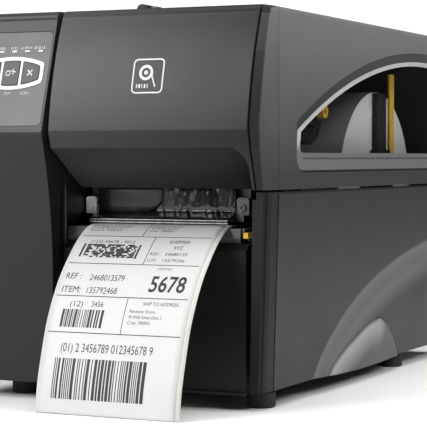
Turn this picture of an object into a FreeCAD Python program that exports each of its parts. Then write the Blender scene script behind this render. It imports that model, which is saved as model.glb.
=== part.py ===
"""Thermal transfer label printer with a bi-fold media door, as separate bodies.

X runs to the right, Y runs backwards and Z up, in millimetres.  Lengths along
the machine are counted from the front crease of the housing while the pieces
are made; put() then moves the whole object to its origin on the floor.
"""
import FreeCAD, Part
import math
import os

from FreeCAD import Vector

# ---- driving dimensions -------------------------------------------------
WIDTH = 242.0            # housing, side to side
DEPTH = 432.0            # housing, front crease to rear
ROOF_Z = 275.0           # top of the roof
FLOOR_Z = 8.0            # underside of the housing
FOOT_Z = -4.0            # bottom of the feet, which the object stands on
SKIN = 2.5               # wall of the plastic mouldings
EDGE_R = 5.0             # rounding along the roof edges
LABEL_REACH = 46.0       # how far the printed label hangs out in front

SIDE_X = WIDTH / 2
LEFT_END = -44.0         # right-hand face of the electronics side
PANEL_LEFT = -39.9       # left edge of the door front panel
PANEL_RIGHT = 113.8      # right edge of the door front panel
WALL_X = -46.0           # centre wall, left face
WALL_T = 3.5
PLATE_X = -42.5          # steel mechanism plate on the centre wall
PLATE_T = 2.0
DOOR_END = 427.8         # rear end of both door leaves
REAR_Y = 428.5           # inner face of the rear panel
SEAM_Y = 41.0            # seam between corner mouldings and side panels
SPLIT_Z = 147.0          # seam between upper and lower door leaf

HINGE_X, HINGE_Z = 12.0, 276.0       # roof hinge axis, along Y
KNUCKLE_R = 4.0
PIN_R = 1.6
RIBBON_CORE = 13.0
RIBBON_X = (-27.5, 81.5)
TOGGLES_X = (-6.0, 62.0)
TOGGLE_Y = 130.0
LEVER_Y, LEVER_Z = 164.0, 150.0
FOLD_X, FOLD_Z = 115.4, 143.0        # fold axis, along Y
FOLD_PIN_R = 1.3
FOLD_STARTS = (60.0, 218.0, 376.0)
FOLD_L = 12.0
HINGE_STARTS = (47.0, 208.0, 352.0)
KNUCKLE_L = 9.0

PANEL_TILT = math.radians(16.8)      # control panel leans back
PANEL_BASE = (0.0, 188.0)            # front crease, (y, z)
KEYS_X = -76.0                       # middle of the key group
KEYS_V = 44.5                        # height of the key group up the panel
KEY_GAP = 0.35
KEY_X = (-16.4, 0.0, 16.4)

WEB_LEFT, WEB_RIGHT = -23.5, 87.0    # label stock
WEB_T = 0.25
WEB_Z = 122.1
ROCKER_Y = 424.0
ROCKER_Z = 41.0
PLATEN_Y, PLATEN_Z, PLATEN_R = 48.0, 113.0, 8.5
SHAFT_R = 4.0
ROLL_Y, ROLL_Z, ROLL_R = 333.0, 136.0, 89.0
CORE_R, CORE_BORE = 41.0, 38.0
SUPPLY_Y, SUPPLY_Z = 196.0, 206.0    # ribbon supply spindle
TAKEUP_Y, TAKEUP_Z = 104.0, 206.0    # ribbon take-up spindle
HEAD_Y, HEAD_Z = 142.0, 140.0        # print-head pivot
MOTOR_Y, MOTOR_Z = 112.0, 70.0
ARCH_Y, ARCH_Z = 361.9, -447.4       # centre of the window arch
MIDDLE_Y = (DEPTH - LABEL_REACH) / 2

os.makedirs("parts", exist_ok=True)


# ---- small makers ---------------------------------------------------------
def box(x0, x1, y0, y1, z0, z1):
    return Part.makeBox(x1 - x0, y1 - y0, z1 - z0, Vector(x0, y0, z0))


def rod_x(y, z, r, x0, x1):
    return Part.makeCylinder(r, x1 - x0, Vector(x0, y, z), Vector(1, 0, 0))


def rod_y(x, z, r, y0, y1):
    return Part.makeCylinder(r, y1 - y0, Vector(x, y0, z), Vector(0, 1, 0))


def rod_z(x, y, r, z0, z1):
    return Part.makeCylinder(r, z1 - z0, Vector(x, y, z0), Vector(0, 0, 1))


def slab_x(points, x0, x1):
    """Plate with a (y, z) outline, thick along X."""
    wire = Part.makePolygon([Vector(x0, y, z) for y, z in points + points[:1]])
    return Part.Face(wire).extrude(Vector(x1 - x0, 0, 0))


def slab_y(points, y0, y1):
    """Plate with an (x, z) outline, thick along Y."""
    wire = Part.makePolygon([Vector(x, y0, z) for x, z in points + points[:1]])
    return Part.Face(wire).extrude(Vector(0, y1 - y0, 0))


def slab_z(points, z0, z1):
    """Plate with an (x, y) outline, thick along Z."""
    wire = Part.makePolygon([Vector(x, y, z0) for x, y in points + points[:1]])
    return Part.Face(wire).extrude(Vector(0, 0, z1 - z0))


def line(a, b):
    return Part.LineSegment(a, b).toShape()


def arc(a, mid, b):
    return Part.Arc(a, mid, b).toShape()


def spline(points):
    curve = Part.BSplineCurve()
    curve.interpolate(points)
    return curve.toShape()


def joined(shapes):
    body = shapes[0]
    for other in shapes[1:]:
        body = body.fuse(other)
    return body.removeSplitter()


def group(shapes):
    return Part.makeCompound(shapes)


def rounded(shape, radius, picks):
    """Fillet the edges whose middle point passes the test."""
    edges = []
    for edge in shape.Edges:
        middle = edge.valueAt((edge.FirstParameter + edge.LastParameter) / 2)
        if picks(middle, edge):
            edges.append(edge)
    return shape.makeFillet(radius, edges)


def along(edge, axis):
    a, b = edge.Vertexes[0].Point, edge.Vertexes[-1].Point
    d = b - a
    return d.Length > 0.1 and abs(abs(d[axis]) - d.Length) < 1e-3


def on_panel(shape):
    """Move a shape drawn as (x, up the slope, outward) onto the control panel."""
    c, s = math.cos(PANEL_TILT), math.sin(PANEL_TILT)
    place = FreeCAD.Matrix(1, 0, 0, 0,
                           0, s, -c, PANEL_BASE[0],
                           0, c, s, PANEL_BASE[1],
                           0, 0, 0, 1)
    return shape.transformed(place, copy=True)


def put(name, shape):
    """Write one node, with the object centred over the origin on its feet."""
    moved = shape.translated(Vector(0, -MIDDLE_Y, -FOOT_Z))
    if not moved.isValid():
        print("NOT VALID", name)
    moved.exportStep("parts/" + name + ".step")


# ---- outlines shared by several pieces -----------------------------------
def bezel_outline():
    """Front of the electronics side, crease in the middle, as open edges."""
    def at(y, z):
        return Vector(0, y, z)
    return [line(at(31, 275), at(28, 275)),
            arc(at(28, 275), at(25.6, 273.9), at(24.2, 269.0)),
            line(at(24.2, 269.0), at(0, 188.0)),
            arc(at(0, 188.0), at(9.5, 150.5), at(16.0, 88.0)),
            line(at(16.0, 88.0), at(16.0, FLOOR_Z))]


def front_outline():
    """Front of the media door: slope, narrow facet, then the chin."""
    def at(y, z):
        return Vector(0, y, z)
    return [line(at(30.7, 275), at(29.5, 275)),
            arc(at(29.5, 275), at(26.2, 273.0), at(23.6, 268.6)),
            arc(at(23.6, 268.6), at(10.6, 230.0), at(2.9, 189.0)),
            line(at(2.9, 189.0), at(6.3, 177.0)),
            line(at(6.3, 177.0), at(51.5, 148.2))]


def band(edges, thickness, x0, x1):
    """Skin of even thickness behind an open outline."""
    wire = Part.Wire(edges)
    face = wire.makeOffset2D(thickness, join=2, fill=True, openResult=True)
    face.translate(Vector(x0, 0, 0))
    return face.extrude(Vector(x1 - x0, 0, 0))


def arch_face(radius, left, low, right, corner, x):
    """Closed outline under the window arch: a long arc over a level sill."""
    def at(y, z):
        return Vector(x, y, z)

    def arch(y):
        return ARCH_Z + math.sqrt(radius ** 2 - (y - ARCH_Y) ** 2)
    start = left + 2.0
    end = right - corner
    low_left = left + corner
    rise = low + corner
    knee = corner * 0.29
    top_end = arch(end) - corner
    edges = [line(at(low_left, low), at(right - 8, low)),
             arc(at(right - 8, low), at(right - 2.4, low + 2.4), at(right, low + 8)),
             line(at(right, low + 8), at(right, top_end)),
             arc(at(right, top_end), at(right - knee, arch(end) - knee), at(end, arch(end))),
             arc(at(end, arch(end)), at((start + end) / 2, arch((start + end) / 2)),
                 at(start, arch(start))),
             line(at(start, arch(start)), at(left, rise)),
             arc(at(left, rise), at(left + knee, low + knee), at(low_left, low))]
    return Part.Face(Part.Wire(edges))


def window_face(x):
    return arch_face(694.2, 81.5, 173.5, 414.0, 5.0, x)


def trim_face(x):
    return arch_face(697.6, 75.0, 161.0, 418.0, 11.0, x)


def recess_face(x):
    return arch_face(704.8, 72.5, 159.6, 424.0, 13.0, x)


# ---- electronics side -----------------------------------------------------
def bezel_block(x0, x1, inset):
    """Solid behind the bezel outline, moved in by the wall thickness."""
    outline = bezel_outline() + [line(Vector(0, 16.0, FLOOR_Z), Vector(0, 31.0, FLOOR_Z)),
                                 line(Vector(0, 31.0, FLOOR_Z), Vector(0, 31.0, ROOF_Z))]
    block = Part.Face(Part.Wire(outline)).extrude(Vector(x1 - x0, 0, 0))
    return block.translated(Vector(x0, inset, -inset))


def slope_rounding(r):
    """What comes off the left edge of the sloped face when it is rounded."""
    corner = box(-SIDE_X - 5.0, -SIDE_X + r, -3.0, 120.0, -r, 6.0)
    kept = Part.makeCylinder(r, 130.0, Vector(-SIDE_X + r, -5.0, -r), Vector(0, 1, 0))
    return on_panel(corner.cut(kept))


def control_bezel():
    """Hollow front moulding of the electronics side, open at the back."""
    block = bezel_block(-SIDE_X, LEFT_END, 0.0)
    block = rounded(block, 4.0, lambda m, e: abs(m.x + SIDE_X) < 0.01 and 20 < m.z < 188)
    shell = block.cut(slope_rounding(4.0)).cut(bezel_block(-SIDE_X + SKIN, LEFT_END - SKIN, SKIN))
    holes = on_panel(joined([key_block(k, 10.0, KEY_GAP) for k in range(3)]))
    lamps = on_panel(joined([lamp_block(k, 10.0, 0.1) for k in range(5)]))
    recess = on_panel(overlay_block(-0.7, 5.0))
    return shell.cut(holes).cut(lamps).cut(recess)


def overlay_block(w0, w1, grow=0.0):
    x0, x1, v0, v1 = KEYS_X - 30.5, KEYS_X + 30.5, 4.6, 76.0
    block = box(x0 - grow, x1 + grow, v0 - grow, v1 + grow, w0, w1)
    return rounded(block, 4.0, lambda m, e: along(e, 2))


def barrel(half, end_half, mid_half, w0, w1):
    """Barrel outline: bowed top and bottom, straight ends."""
    x0, x1 = KEYS_X - half, KEYS_X + half
    lo, hi = KEYS_V - end_half, KEYS_V + end_half
    edges = [arc(Vector(x0, lo, w0), Vector(KEYS_X, KEYS_V - mid_half, w0), Vector(x1, lo, w0)),
             line(Vector(x1, lo, w0), Vector(x1, hi, w0)),
             arc(Vector(x1, hi, w0), Vector(KEYS_X, KEYS_V + mid_half, w0), Vector(x0, hi, w0)),
             line(Vector(x0, hi, w0), Vector(x0, lo, w0))]
    block = Part.Face(Part.Wire(edges)).extrude(Vector(0, 0, w1 - w0))
    return rounded(block, 2.4, lambda m, e: along(e, 2))


def key_block(index, reach, grow=0.0):
    """One of the three keys: a cell of the barrel, 0 is on the left."""
    cells = ((-23.4, -9.4), (-6.8, 6.8), (9.4, 23.4))
    inner = barrel(23.4 + grow, 4.9 + grow, 9.3 + grow, -5.0, -5.0 + reach)
    a, b = cells[index]
    cell = box(KEYS_X + a - grow, KEYS_X + b + grow, 0, 90, -5.0, -5.0 + reach)
    return rounded(inner.common(cell), 0.9, lambda m, e: along(e, 2)
                   and abs(abs(m.x - KEYS_X) - (9.4 - grow if index != 1 else 6.8 + grow)) < 0.2)


def lamp_block(index, reach, grow=0.0):
    x = KEYS_X + (index - 2) * 10.8
    return box(x - 2.2 - grow, x + 2.2 + grow, 60.4 - grow, 62.0 + grow, -4.0, -4.0 + reach)


def control_overlay():
    sheet = overlay_block(-0.6, 0.0, -0.15)
    holes = joined([key_block(k, 10.0, KEY_GAP) for k in range(3)])
    lamps = joined([lamp_block(k, 10.0, 0.05) for k in range(5)])
    return on_panel(sheet.cut(holes).cut(lamps))


def key_ring():
    ring = barrel(26.6, 7.4, 12.4, 0.05, 0.55)
    for k in range(3):
        ring = ring.cut(key_block(k, 10.0, KEY_GAP))
    return on_panel(ring)


def key(index):
    cap = key_block(index, 6.0)
    cap = rounded(cap, 0.4, lambda m, e: abs(m.z - 1.0) < 0.01)
    stem = Part.makeCylinder(2.0, 3.1, Vector(KEYS_X + KEY_X[index], KEYS_V, -8.0))
    return on_panel(joined([cap, stem]))


def status_lights():
    return group([on_panel(lamp_block(k, 4.1)) for k in range(5)])


def control_board():
    board = box(KEYS_X - 29, KEYS_X + 29, 14, 68, -12.0, -10.4)
    switches = [box(KEYS_X + x - 3, KEYS_X + x + 3, KEYS_V - 3, KEYS_V + 3, -10.5, -9.2)
                for x in KEY_X]
    posts = [Part.makeCylinder(2.2, 7.35, Vector(KEYS_X + x, v, -10.5))
             for x in (-26, 26) for v in (18, 55)]
    return on_panel(joined([board] + switches + posts))


def electronics_cover():
    """Side and roof of the electronics half, one bent sheet with a gutter under the hinge."""
    def at(x, z):
        return Vector(x, 0, z)
    left = -SIDE_X
    wire = Part.Wire([line(at(left, FLOOR_Z), at(left, ROOF_Z - EDGE_R)),
                      arc(at(left, ROOF_Z - EDGE_R), at(left + 1.46, ROOF_Z - 1.46),
                          at(left + EDGE_R, ROOF_Z)),
                      line(at(left + EDGE_R, ROOF_Z), at(7.7, ROOF_Z))])
    face = wire.makeOffset2D(-2.0, join=2, fill=True, openResult=True)
    if face.BoundBox.XMin < left - 0.1:
        face = wire.makeOffset2D(2.0, join=2, fill=True, openResult=True)
    face.translate(Vector(0, 31.3, 0))
    sheet = face.extrude(Vector(0, REAR_Y - 0.2 - 31.3, 0))
    gutter = slab_y([(5.7, 274.0), (5.7, 269.4), (21.0, 269.4), (21.0, 271.0), (7.7, 271.0),
                     (7.7, 274.0)], 33.0, 427.0)
    sheet = sheet.fuse(gutter).removeSplitter()
    slots = [box(left - 1, left + 5, 300 + k * 9, 304 + k * 9, 60, 150) for k in range(10)]
    return sheet.cut(joined(slots))


def center_wall():
    """Spine between the electronics and the media bay."""
    outline = [(31.4, 12), (427.5, 12), (427.5, 272.6), (52, 272.6), (52, 190), (31.4, 160)]
    wall = slab_x(outline, WALL_X, WALL_X + WALL_T)
    holes = [rod_x(PLATEN_Y, PLATEN_Z, 7.02, WALL_X - 1, WALL_X + WALL_T + 1),
             rod_x(TAKEUP_Y, TAKEUP_Z, 5.05, WALL_X - 1, WALL_X + WALL_T + 1),
             rod_x(SUPPLY_Y, SUPPLY_Z, 5.05, WALL_X - 1, WALL_X + WALL_T + 1),
             rod_x(MOTOR_Y, MOTOR_Z, 12.0, WALL_X - 1, WALL_X + WALL_T + 1)]
    return wall.cut(joined(holes))


def base_pan():
    """Pressed steel floor with turned-up side and rear edges."""
    pan = box(-118.0, 108.0, 31.2, 428.2, FLOOR_Z, FLOOR_Z + 2)
    left = box(-118.0, -116.5, 31.2, 428.2, FLOOR_Z, 24)
    right = box(106.5, 108.0, 62.0, 428.2, FLOOR_Z, 20)
    pan = joined([pan, left, right])
    lowers = [box(-100 + k * 12, -94 + k * 12, 150, 230, 0, 12) for k in range(4)]
    return pan.cut(joined(lowers))


def feet():
    pads = []
    for x in (-85.0, 105.5):
        for y in (47.0, 318.0):
            pad = rod_z(x, y, 10.0, FOOT_Z, FLOOR_Z - 1.2)
            pad = rounded(pad, 1.2, lambda m, e: m.z < FOOT_Z + 0.5 and e.Length > 50)
            pads.append(joined([pad, rod_z(x, y, 6.0, FLOOR_Z - 3.0, FLOOR_Z)]))
    return group(pads)


def rear_panel():
    face = box(-SIDE_X, SIDE_X, REAR_Y, REAR_Y + 2.5, FLOOR_Z, ROOF_Z)
    face = rounded(face, EDGE_R, lambda m, e: along(e, 1) and m.z > ROOF_Z - 1)
    cuts = [box(-108, -80, REAR_Y - 1, REAR_Y + 4, 30, 52),
            box(-70, -55, REAR_Y - 1, REAR_Y + 4, 30, 52),
            box(-101, -87, REAR_Y - 1, REAR_Y + 4, 178, 192),
            box(-105, -71, REAR_Y - 1, REAR_Y + 4, 144, 158)]
    vents = [box(-66 + k * 6, -63 + k * 6, REAR_Y - 1, REAR_Y + 4, 205, 245) for k in range(2)]
    vents += [box(-110 + k * 6, -107 + k * 6, REAR_Y - 1, REAR_Y + 4, 205, 245) for k in range(6)]
    return face.cut(joined(cuts)).cut(joined(vents))


def power_inlet():
    shell = box(-107.9, -80.1, 405.0, REAR_Y + 3.2, 30.1, 51.9)
    socket = box(-105.5, -82.5, 414.0, REAR_Y + 5, 33.0, 49.0)
    socket = rounded(socket, 3.5, lambda m, e: along(e, 1) and m.z > 45)
    pins = [box(-94 + x - 1, -94 + x + 1, 413.0, 428.0, z - 2, z + 2)
            for x, z in ((-7, 38), (7, 38), (0, 44))]
    frame = box(-69.9, -55.1, 405.0, REAR_Y + 3.2, 30.1, 51.9)
    frame = frame.cut(box(-68.5, -56.5, 413.0, REAR_Y + 5, 31.5, 50.5))
    frame = frame.cut(rod_x(ROCKER_Y, ROCKER_Z, 1.26, -69.2, -55.8))
    bridge = box(-80.2, -69.8, 405.0, 409.0, 34.0, 48.0)
    return joined([shell.cut(socket), frame, bridge] + pins)


def power_rocker():
    """Rocker that tips on a cross pin near the mouth of its frame."""
    y = REAR_Y - 2.0
    outline = [(y - 6, 37), (y - 6, 45), (y + 1.6, 48.6), (y + 3.2, 48.2),
               (y + 2.8, 41.0), (y + 4.6, 34.4), (y + 3.0, 34.0)]
    return joined([slab_x(outline, -68.1, -56.9), rod_x(ROCKER_Y, ROCKER_Z, 1.2, -68.9, -56.1)])


def usb_port():
    shell = box(-100.9, -87.1, 408, REAR_Y + 3.0, 178.1, 191.9)
    bore = box(-99.6, -88.4, 414, REAR_Y + 5, 179.4, 190.6)
    tongue = box(-97.2, -90.8, 413, REAR_Y + 1.5, 184.4, 187.2)
    return joined([shell.cut(bore), tongue])


def serial_port():
    flange = box(-104.9, -71.1, REAR_Y - 0.4, REAR_Y + 2.6, 144.1, 157.9)
    shell = box(-98, -78, REAR_Y - 12, REAR_Y + 3.2, 146.5, 155.5)
    shell = rounded(shell, 2.0, lambda m, e: along(e, 1))
    bore = box(-96.8, -79.2, REAR_Y - 4, REAR_Y + 6, 147.7, 154.3)
    pins = [rod_y(-95 + k * 2.75, z, 0.5, REAR_Y - 5, REAR_Y + 2)
            for k, z in enumerate((152.4, 149.6) * 3)]
    posts = [rod_y(x, 151, 2.4, REAR_Y - 2, REAR_Y + 3.4) for x in (-101.5, -74.5)]
    return joined([flange.fuse(shell).cut(bore)] + pins + posts)


def main_board():
    board = box(-52.0, -50.4, 214, 404, 62, 214)
    chips = [box(-54.6, -51.9, 240, 272, 120, 152), box(-53.6, -51.9, 290, 312, 96, 110),
             box(-53.6, -51.9, 290, 312, 130, 144), box(-56.4, -51.9, 222, 236, 76, 100)]
    cans = [Part.makeCylinder(6.0, 14, Vector(-52.0, y, 190), Vector(-1, 0, 0))
            for y in (330, 346, 362)]
    posts = [rod_x(y, z, 2.5, -50.5, WALL_X) for y in (222, 396) for z in (70, 206)]
    return joined([board] + chips + cans + posts)


def power_supply():
    can = box(-112, -58, 200, 380, 12.2, 56)
    fins = [box(-110, -60, 210 + k * 16, 213 + k * 16, 55.5, 62) for k in range(10)]
    return joined([can] + fins + [box(-112, -58, 240, 260, 10.0, 12.5)])


def stepper_motor():
    """Square stepper on stand-offs behind the centre wall."""
    can = box(-100.0, -62.0, MOTOR_Y - 21, MOTOR_Y + 21, MOTOR_Z - 21, MOTOR_Z + 21)
    can = rounded(can, 4.0, lambda m, e: along(e, 0))
    boss = rod_x(MOTOR_Y, MOTOR_Z, 11.0, -62.1, -60.0)
    posts = [rod_x(MOTOR_Y + a * 15.5, MOTOR_Z + b * 15.5, 3.0, -62.1, WALL_X)
             for a, b in ((1, 1), (1, -1), (-1, -1))]
    bore = rod_x(MOTOR_Y, MOTOR_Z, 2.55, -70.0, -59.0)
    return joined([can, boss] + posts).cut(bore)


def pulley(y, z, radius, bore, x0, x1):
    rim = rod_x(y, z, radius, x0 + 1.2, x1 - 1.2)
    flanges = [rod_x(y, z, radius + 1.6, x0, x0 + 1.2), rod_x(y, z, radius + 1.6, x1 - 1.2, x1)]
    body = joined([rim] + flanges)
    if bore:
        body = body.cut(rod_x(y, z, bore, x0 - 1, x1 + 1))
    return body


def motor_pulley():
    shaft = rod_x(MOTOR_Y, MOTOR_Z, 2.5, -69.0, -50.5)
    return joined([pulley(MOTOR_Y, MOTOR_Z, 6.0, 0, -58.8, -51.2), shaft])


def drive_belt():
    """Toothed belt from the motor pulley to the platen pulley."""
    dy, dz = PLATEN_Y - MOTOR_Y, PLATEN_Z - MOTOR_Z
    span = math.hypot(dy, dz)
    ry, rz = 6.5, 14.5
    lean = math.asin((rz - ry) / span)
    heading = math.atan2(dz, dy)

    def around(extra):
        a, b = ry + extra, rz + extra
        edges = []
        ends = []
        for side in (1, -1):
            turn = heading + side * (math.pi / 2 + lean)
            u = Vector(0, math.cos(turn), math.sin(turn))
            ends.append((Vector(0, MOTOR_Y, MOTOR_Z) + u * a,
                         Vector(0, PLATEN_Y, PLATEN_Z) + u * b))
        ahead = Vector(0, math.cos(heading), math.sin(heading))
        edges.append(line(ends[0][0], ends[0][1]))
        edges.append(arc(ends[0][1], Vector(0, PLATEN_Y, PLATEN_Z) + ahead * b, ends[1][1]))
        edges.append(line(ends[1][1], ends[1][0]))
        edges.append(arc(ends[1][0], Vector(0, MOTOR_Y, MOTOR_Z) - ahead * a, ends[0][0]))
        return Part.Face(Part.Wire(edges))
    ring = around(1.3).cut(around(0.0))
    ring.translate(Vector(-57.3, 0, 0))
    return ring.extrude(Vector(4.6, 0, 0))


# ---- feed and print mechanism --------------------------------------------
def mech_plate():
    """Steel side plate that carries platen and print head."""
    outline = [(29, 112), (29, 150), (34, 158), (54, 176), (54, 226), (160, 226),
               (205, 232), (222, 205), (196, 172), (160, 112), (160, 60), (60, 60)]
    plate = slab_x(outline, PLATE_X, PLATE_X + PLATE_T)
    holes = [rod_x(PLATEN_Y, PLATEN_Z, 7.02, -60, -30),
             rod_x(TAKEUP_Y, TAKEUP_Z, 5.05, -60, -30),
             rod_x(SUPPLY_Y, SUPPLY_Z, 5.05, -60, -30),
             rod_x(HEAD_Y, HEAD_Z, 4.0, -60, -30),
             rod_x(LEVER_Y, LEVER_Z, 3.05, -60, -30)]
    rail = box(PLATE_X, 94.0, TOGGLE_Y - 3, TOGGLE_Y + 3, 178.0, 184.0)
    side = box(92.0, 94.0, 118.0, 148.0, 84.0, 186.0)
    guide = box(PLATE_X, 92.0, 53.4, 56.0, 151.5, 168.0)
    strut = box(90.0, 92.0, 56.0, 120.0, 160.0, 166.0)
    return joined([plate.cut(joined(holes)), rail, side, guide, strut])


def platen_support():
    """Cast bridge under the platen with an upright for the right bearing."""
    bridge = box(-40.4, 96.0, 62.0, 150.0, 78.0, 84.0)
    ribs = [box(x, x + 3, 66.0, 146.0, 60.0, 79.0) for x in (-38, 0, 40, 90)]
    upright = slab_x([(37.6, 108), (37.6, 114), (40, 120.5), (58, 120.5), (70, 84), (70, 78),
                      (62, 78), (54, 98), (40, 100)], 90.0, 96.0)
    pin = rod_x(59.0, 100.0, 1.5, 95.9, 106.0)
    post = box(92.0, 96.0, 120.0, 150.0, 10.0, 80.0)
    legs = box(-40.4, -34.0, 120.0, 150.0, 10.0, 80.0)
    nose = box(-40.4, 90.0, 58.0, 63.0, 78.0, 100.0)
    cast = joined([bridge, upright, pin, post, legs, nose] + ribs)
    return cast.cut(rod_x(PLATEN_Y, PLATEN_Z, 7.02, 80, 100))


def platen_bearings():
    rings = []
    for x0, x1 in ((-46.0, -40.5), (90.0, 96.0)):
        ring = rod_x(PLATEN_Y, PLATEN_Z, 7.0, x0, x1)
        rings.append(ring.cut(rod_x(PLATEN_Y, PLATEN_Z, SHAFT_R + 0.05, x0 - 1, x1 + 1)))
    return group(rings)


def platen_roller():
    tube = rod_x(PLATEN_Y, PLATEN_Z, PLATEN_R, -30.0, 87.6)
    return tube.cut(rod_x(PLATEN_Y, PLATEN_Z, SHAFT_R, -31, 89))


def platen_shaft():
    shaft = rod_x(PLATEN_Y, PLATEN_Z, SHAFT_R, -59.5, 97.0)
    collar = rod_x(PLATEN_Y, PLATEN_Z, 5.6, 87.7, 89.6)
    return joined([shaft, collar, pulley(PLATEN_Y, PLATEN_Z, 14.0, 0, -58.8, -51.2)])


def tear_bar():
    outline = [(32.0, 114.0), (33.2, 120.8), (35.4, 120.8), (37.6, 115.6), (37.6, 108.0),
               (34.0, 108.0)]
    return slab_x(outline, PLATE_X + PLATE_T, 96.0)


def media_guide():
    """Sliding edge guide on the bar in front of the platen support."""
    block = box(97.4, 101.0, 34.0, 60.0, 114.0, 118.0)
    stem = box(97.4, 100.0, 56.0, 62.0, 90.0, 114.5)
    return joined([block, stem]).cut(rod_x(59.0, 100.0, 1.56, 90, 110))


def printhead_bracket():
    """Bent steel carrier, hinged at the rear on a cross shaft."""
    top = box(-36.0, 88.0, 66.0, 138.0, 156.0, 158.0)
    front = box(-38.0, 90.0, 64.0, 66.0, 140.0, 158.0)
    ears = [slab_x([(66, 128), (66, 158), (146, 158), (148, 134), (138, 130)], x, x + 2.0)
            for x in (-38.0, 88.0)]
    cross = rod_x(HEAD_Y, HEAD_Z, 3.92, -42.4, 91.5)
    return joined([top, front, cross] + ears)


def printhead_heatsink():
    body = box(-30.0, 81.6, 58.0, 104.0, 126.5, 136.0)
    fins = [box(-29.0 + k * 9.0, -27.0 + k * 9.0, 70.0, 102.0, 135.5, 148.0) for k in range(13)]
    return joined([body] + fins)


def printhead_board():
    """Ceramic board whose heater line sits over the platen."""
    return slab_x([(43.5, 124.2), (45.0, 123.2), (96.0, 123.2), (96.0, 126.4), (58, 126.4),
                   (46.0, 126.4)], -30.0, 81.6)


def head_side_brackets():
    """Small pressed bracket with a neck at each end of the head."""
    ends = []
    for x0, x1, neck0, neck1 in ((-39.3, -30.6, -33.4, -30.6), (82.0, 91.6, 82.6, 87.6)):
        plate = box(x0, x1, 57.0, 58.4, 129.3, 141.7)
        plate = rounded(plate, 2.2, lambda m, e: along(e, 1) and m.z > 140)
        neck = box(neck0, neck1, 57.0, 58.4, 124.6, 130.0)
        arm = box(x0 + 1, x1 - 1, 58.3, 64.0, 138.0, 141.4)
        screw = rod_y((x0 + x1) / 2, 134.6, 2.6, 55.4, 57.0)
        screw = screw.cut(rod_y((x0 + x1) / 2, 134.6, 1.0, 55.0, 56.4))
        ends += [joined([plate, neck, arm]), screw]
    return group(ends)


def ribbon_strip(points, x0, x1, thickness=0.15):
    """Thin film along a bent path."""
    edges = [line(Vector(0, *a), Vector(0, *b)) for a, b in zip(points, points[1:])]
    face = Part.Wire(edges).makeOffset2D(thickness, join=2, fill=True, openResult=True)
    face.translate(Vector(x0, 0, 0))
    return face.extrude(Vector(x1 - x0, 0, 0))


def ribbon_film():
    """Ribbon under the head and up its front, carried by the head."""
    path = [(136.0, 125.2), (100.0, 122.75), (43.6, 122.75), (41.6, 124.2), (43.0, 127.8),
            (55.4, 131.2), (56.0, 137.0), (56.7, 149.5)]
    return ribbon_strip(path, RIBBON_X[0], RIBBON_X[1])


def pressure_toggle(x):
    y = TOGGLE_Y
    block = box(x - 9, x + 9, y - 6.5, y + 7, 174.0, 192.0)
    block = block.cut(box(x - 10, x + 10, y - 3.3, y + 3.3, 177.7, 184.3))
    dial = rod_z(x, y, 6.4, 191.9, 198.0)
    plunger = rod_z(x, y, 4.0, 162.0, 174.1)
    return joined([block, dial, plunger])


def head_lever():
    """Head release lever, turning on a pin in the mechanism plate."""
    hub = rod_x(LEVER_Y, LEVER_Z, 7.0, -40.1, -33.0)
    pin = rod_x(LEVER_Y, LEVER_Z, 3.0, -42.4, -39.0)
    arm = slab_x([(160.0, 150.0), (168.0, 150.0), (166.0, 196.0), (162.0, 198.0), (158.5, 196.0)],
                 -39.9, -33.2)
    knob = rod_x(162.3, 196.0, 6.0, -40.0, -30.0)
    return joined([hub, pin, arm, knob])


def spindle(y, z, x1):
    """Ribbon spindle: shaft through the wall, body with two drive fins."""
    shaft = rod_x(y, z, 5.0, -47.5, -39.0)
    body = rod_x(y, z, 10.5, -39.2, x1 - 6.0)
    nose = rod_x(y, z, 8.0, x1 - 6.1, x1)
    fin = box(-36.0, x1 - 10.0, y - 1.0, y + 1.0, z - 12.6, z + 12.6)
    return joined([shaft, body, nose, fin])


def spindle_cap():
    """Coloured end ring of the supply spindle."""
    ring = rod_x(SUPPLY_Y, SUPPLY_Z, 5.5, 90.0, 95.0)
    return ring.cut(rod_x(SUPPLY_Y, SUPPLY_Z, 2.6, 89, 96))


def wound(y, z, inner, outer, x0, x1):
    roll = rod_x(y, z, outer, x0, x1)
    return roll.cut(rod_x(y, z, inner, x0 - 1, x1 + 1))


def ribbon_runs():
    """Free lengths of ribbon: supply to head, and head front to take-up."""
    feed = [(SUPPLY_Y - 26.8, SUPPLY_Z - 3.0), (166.0, 131.0), (150.0, 127.0)]
    back = [(57.2, 167.0), (70.0, 184.0), (85.6, 206.0)]
    return group([ribbon_strip(run, RIBBON_X[0], RIBBON_X[1]) for run in (feed, back)])


# ---- media path -----------------------------------------------------------
def web_strip(points, first, last):
    """Sheet of label stock along a smooth (y, z) path with given end directions."""
    def along_path(side):
        shifted = []
        for i, (y, z) in enumerate(points):
            a = points[max(i - 1, 0)]
            b = points[min(i + 1, len(points) - 1)]
            if i == 0:
                a, b = (0.0, 0.0), first
            if i == len(points) - 1:
                a, b = (0.0, 0.0), last
            dy, dz = b[0] - a[0], b[1] - a[1]
            size = math.hypot(dy, dz) / (side * WEB_T / 2)
            shifted.append(Vector(WEB_LEFT, y - dz / size, z + dy / size))
        curve = Part.BSplineCurve()
        curve.interpolate(Points=shifted, InitialTangent=Vector(0, *first),
                          FinalTangent=Vector(0, *last))
        return curve.toShape(), shifted[0], shifted[-1]
    upper, upper_start, upper_end = along_path(1)
    lower, lower_start, lower_end = along_path(-1)
    wire = Part.Wire([upper, line(upper_end, lower_end), lower, line(lower_start, upper_start)])
    return Part.Face(wire).extrude(Vector(WEB_RIGHT - WEB_LEFT, 0, 0))


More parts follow.
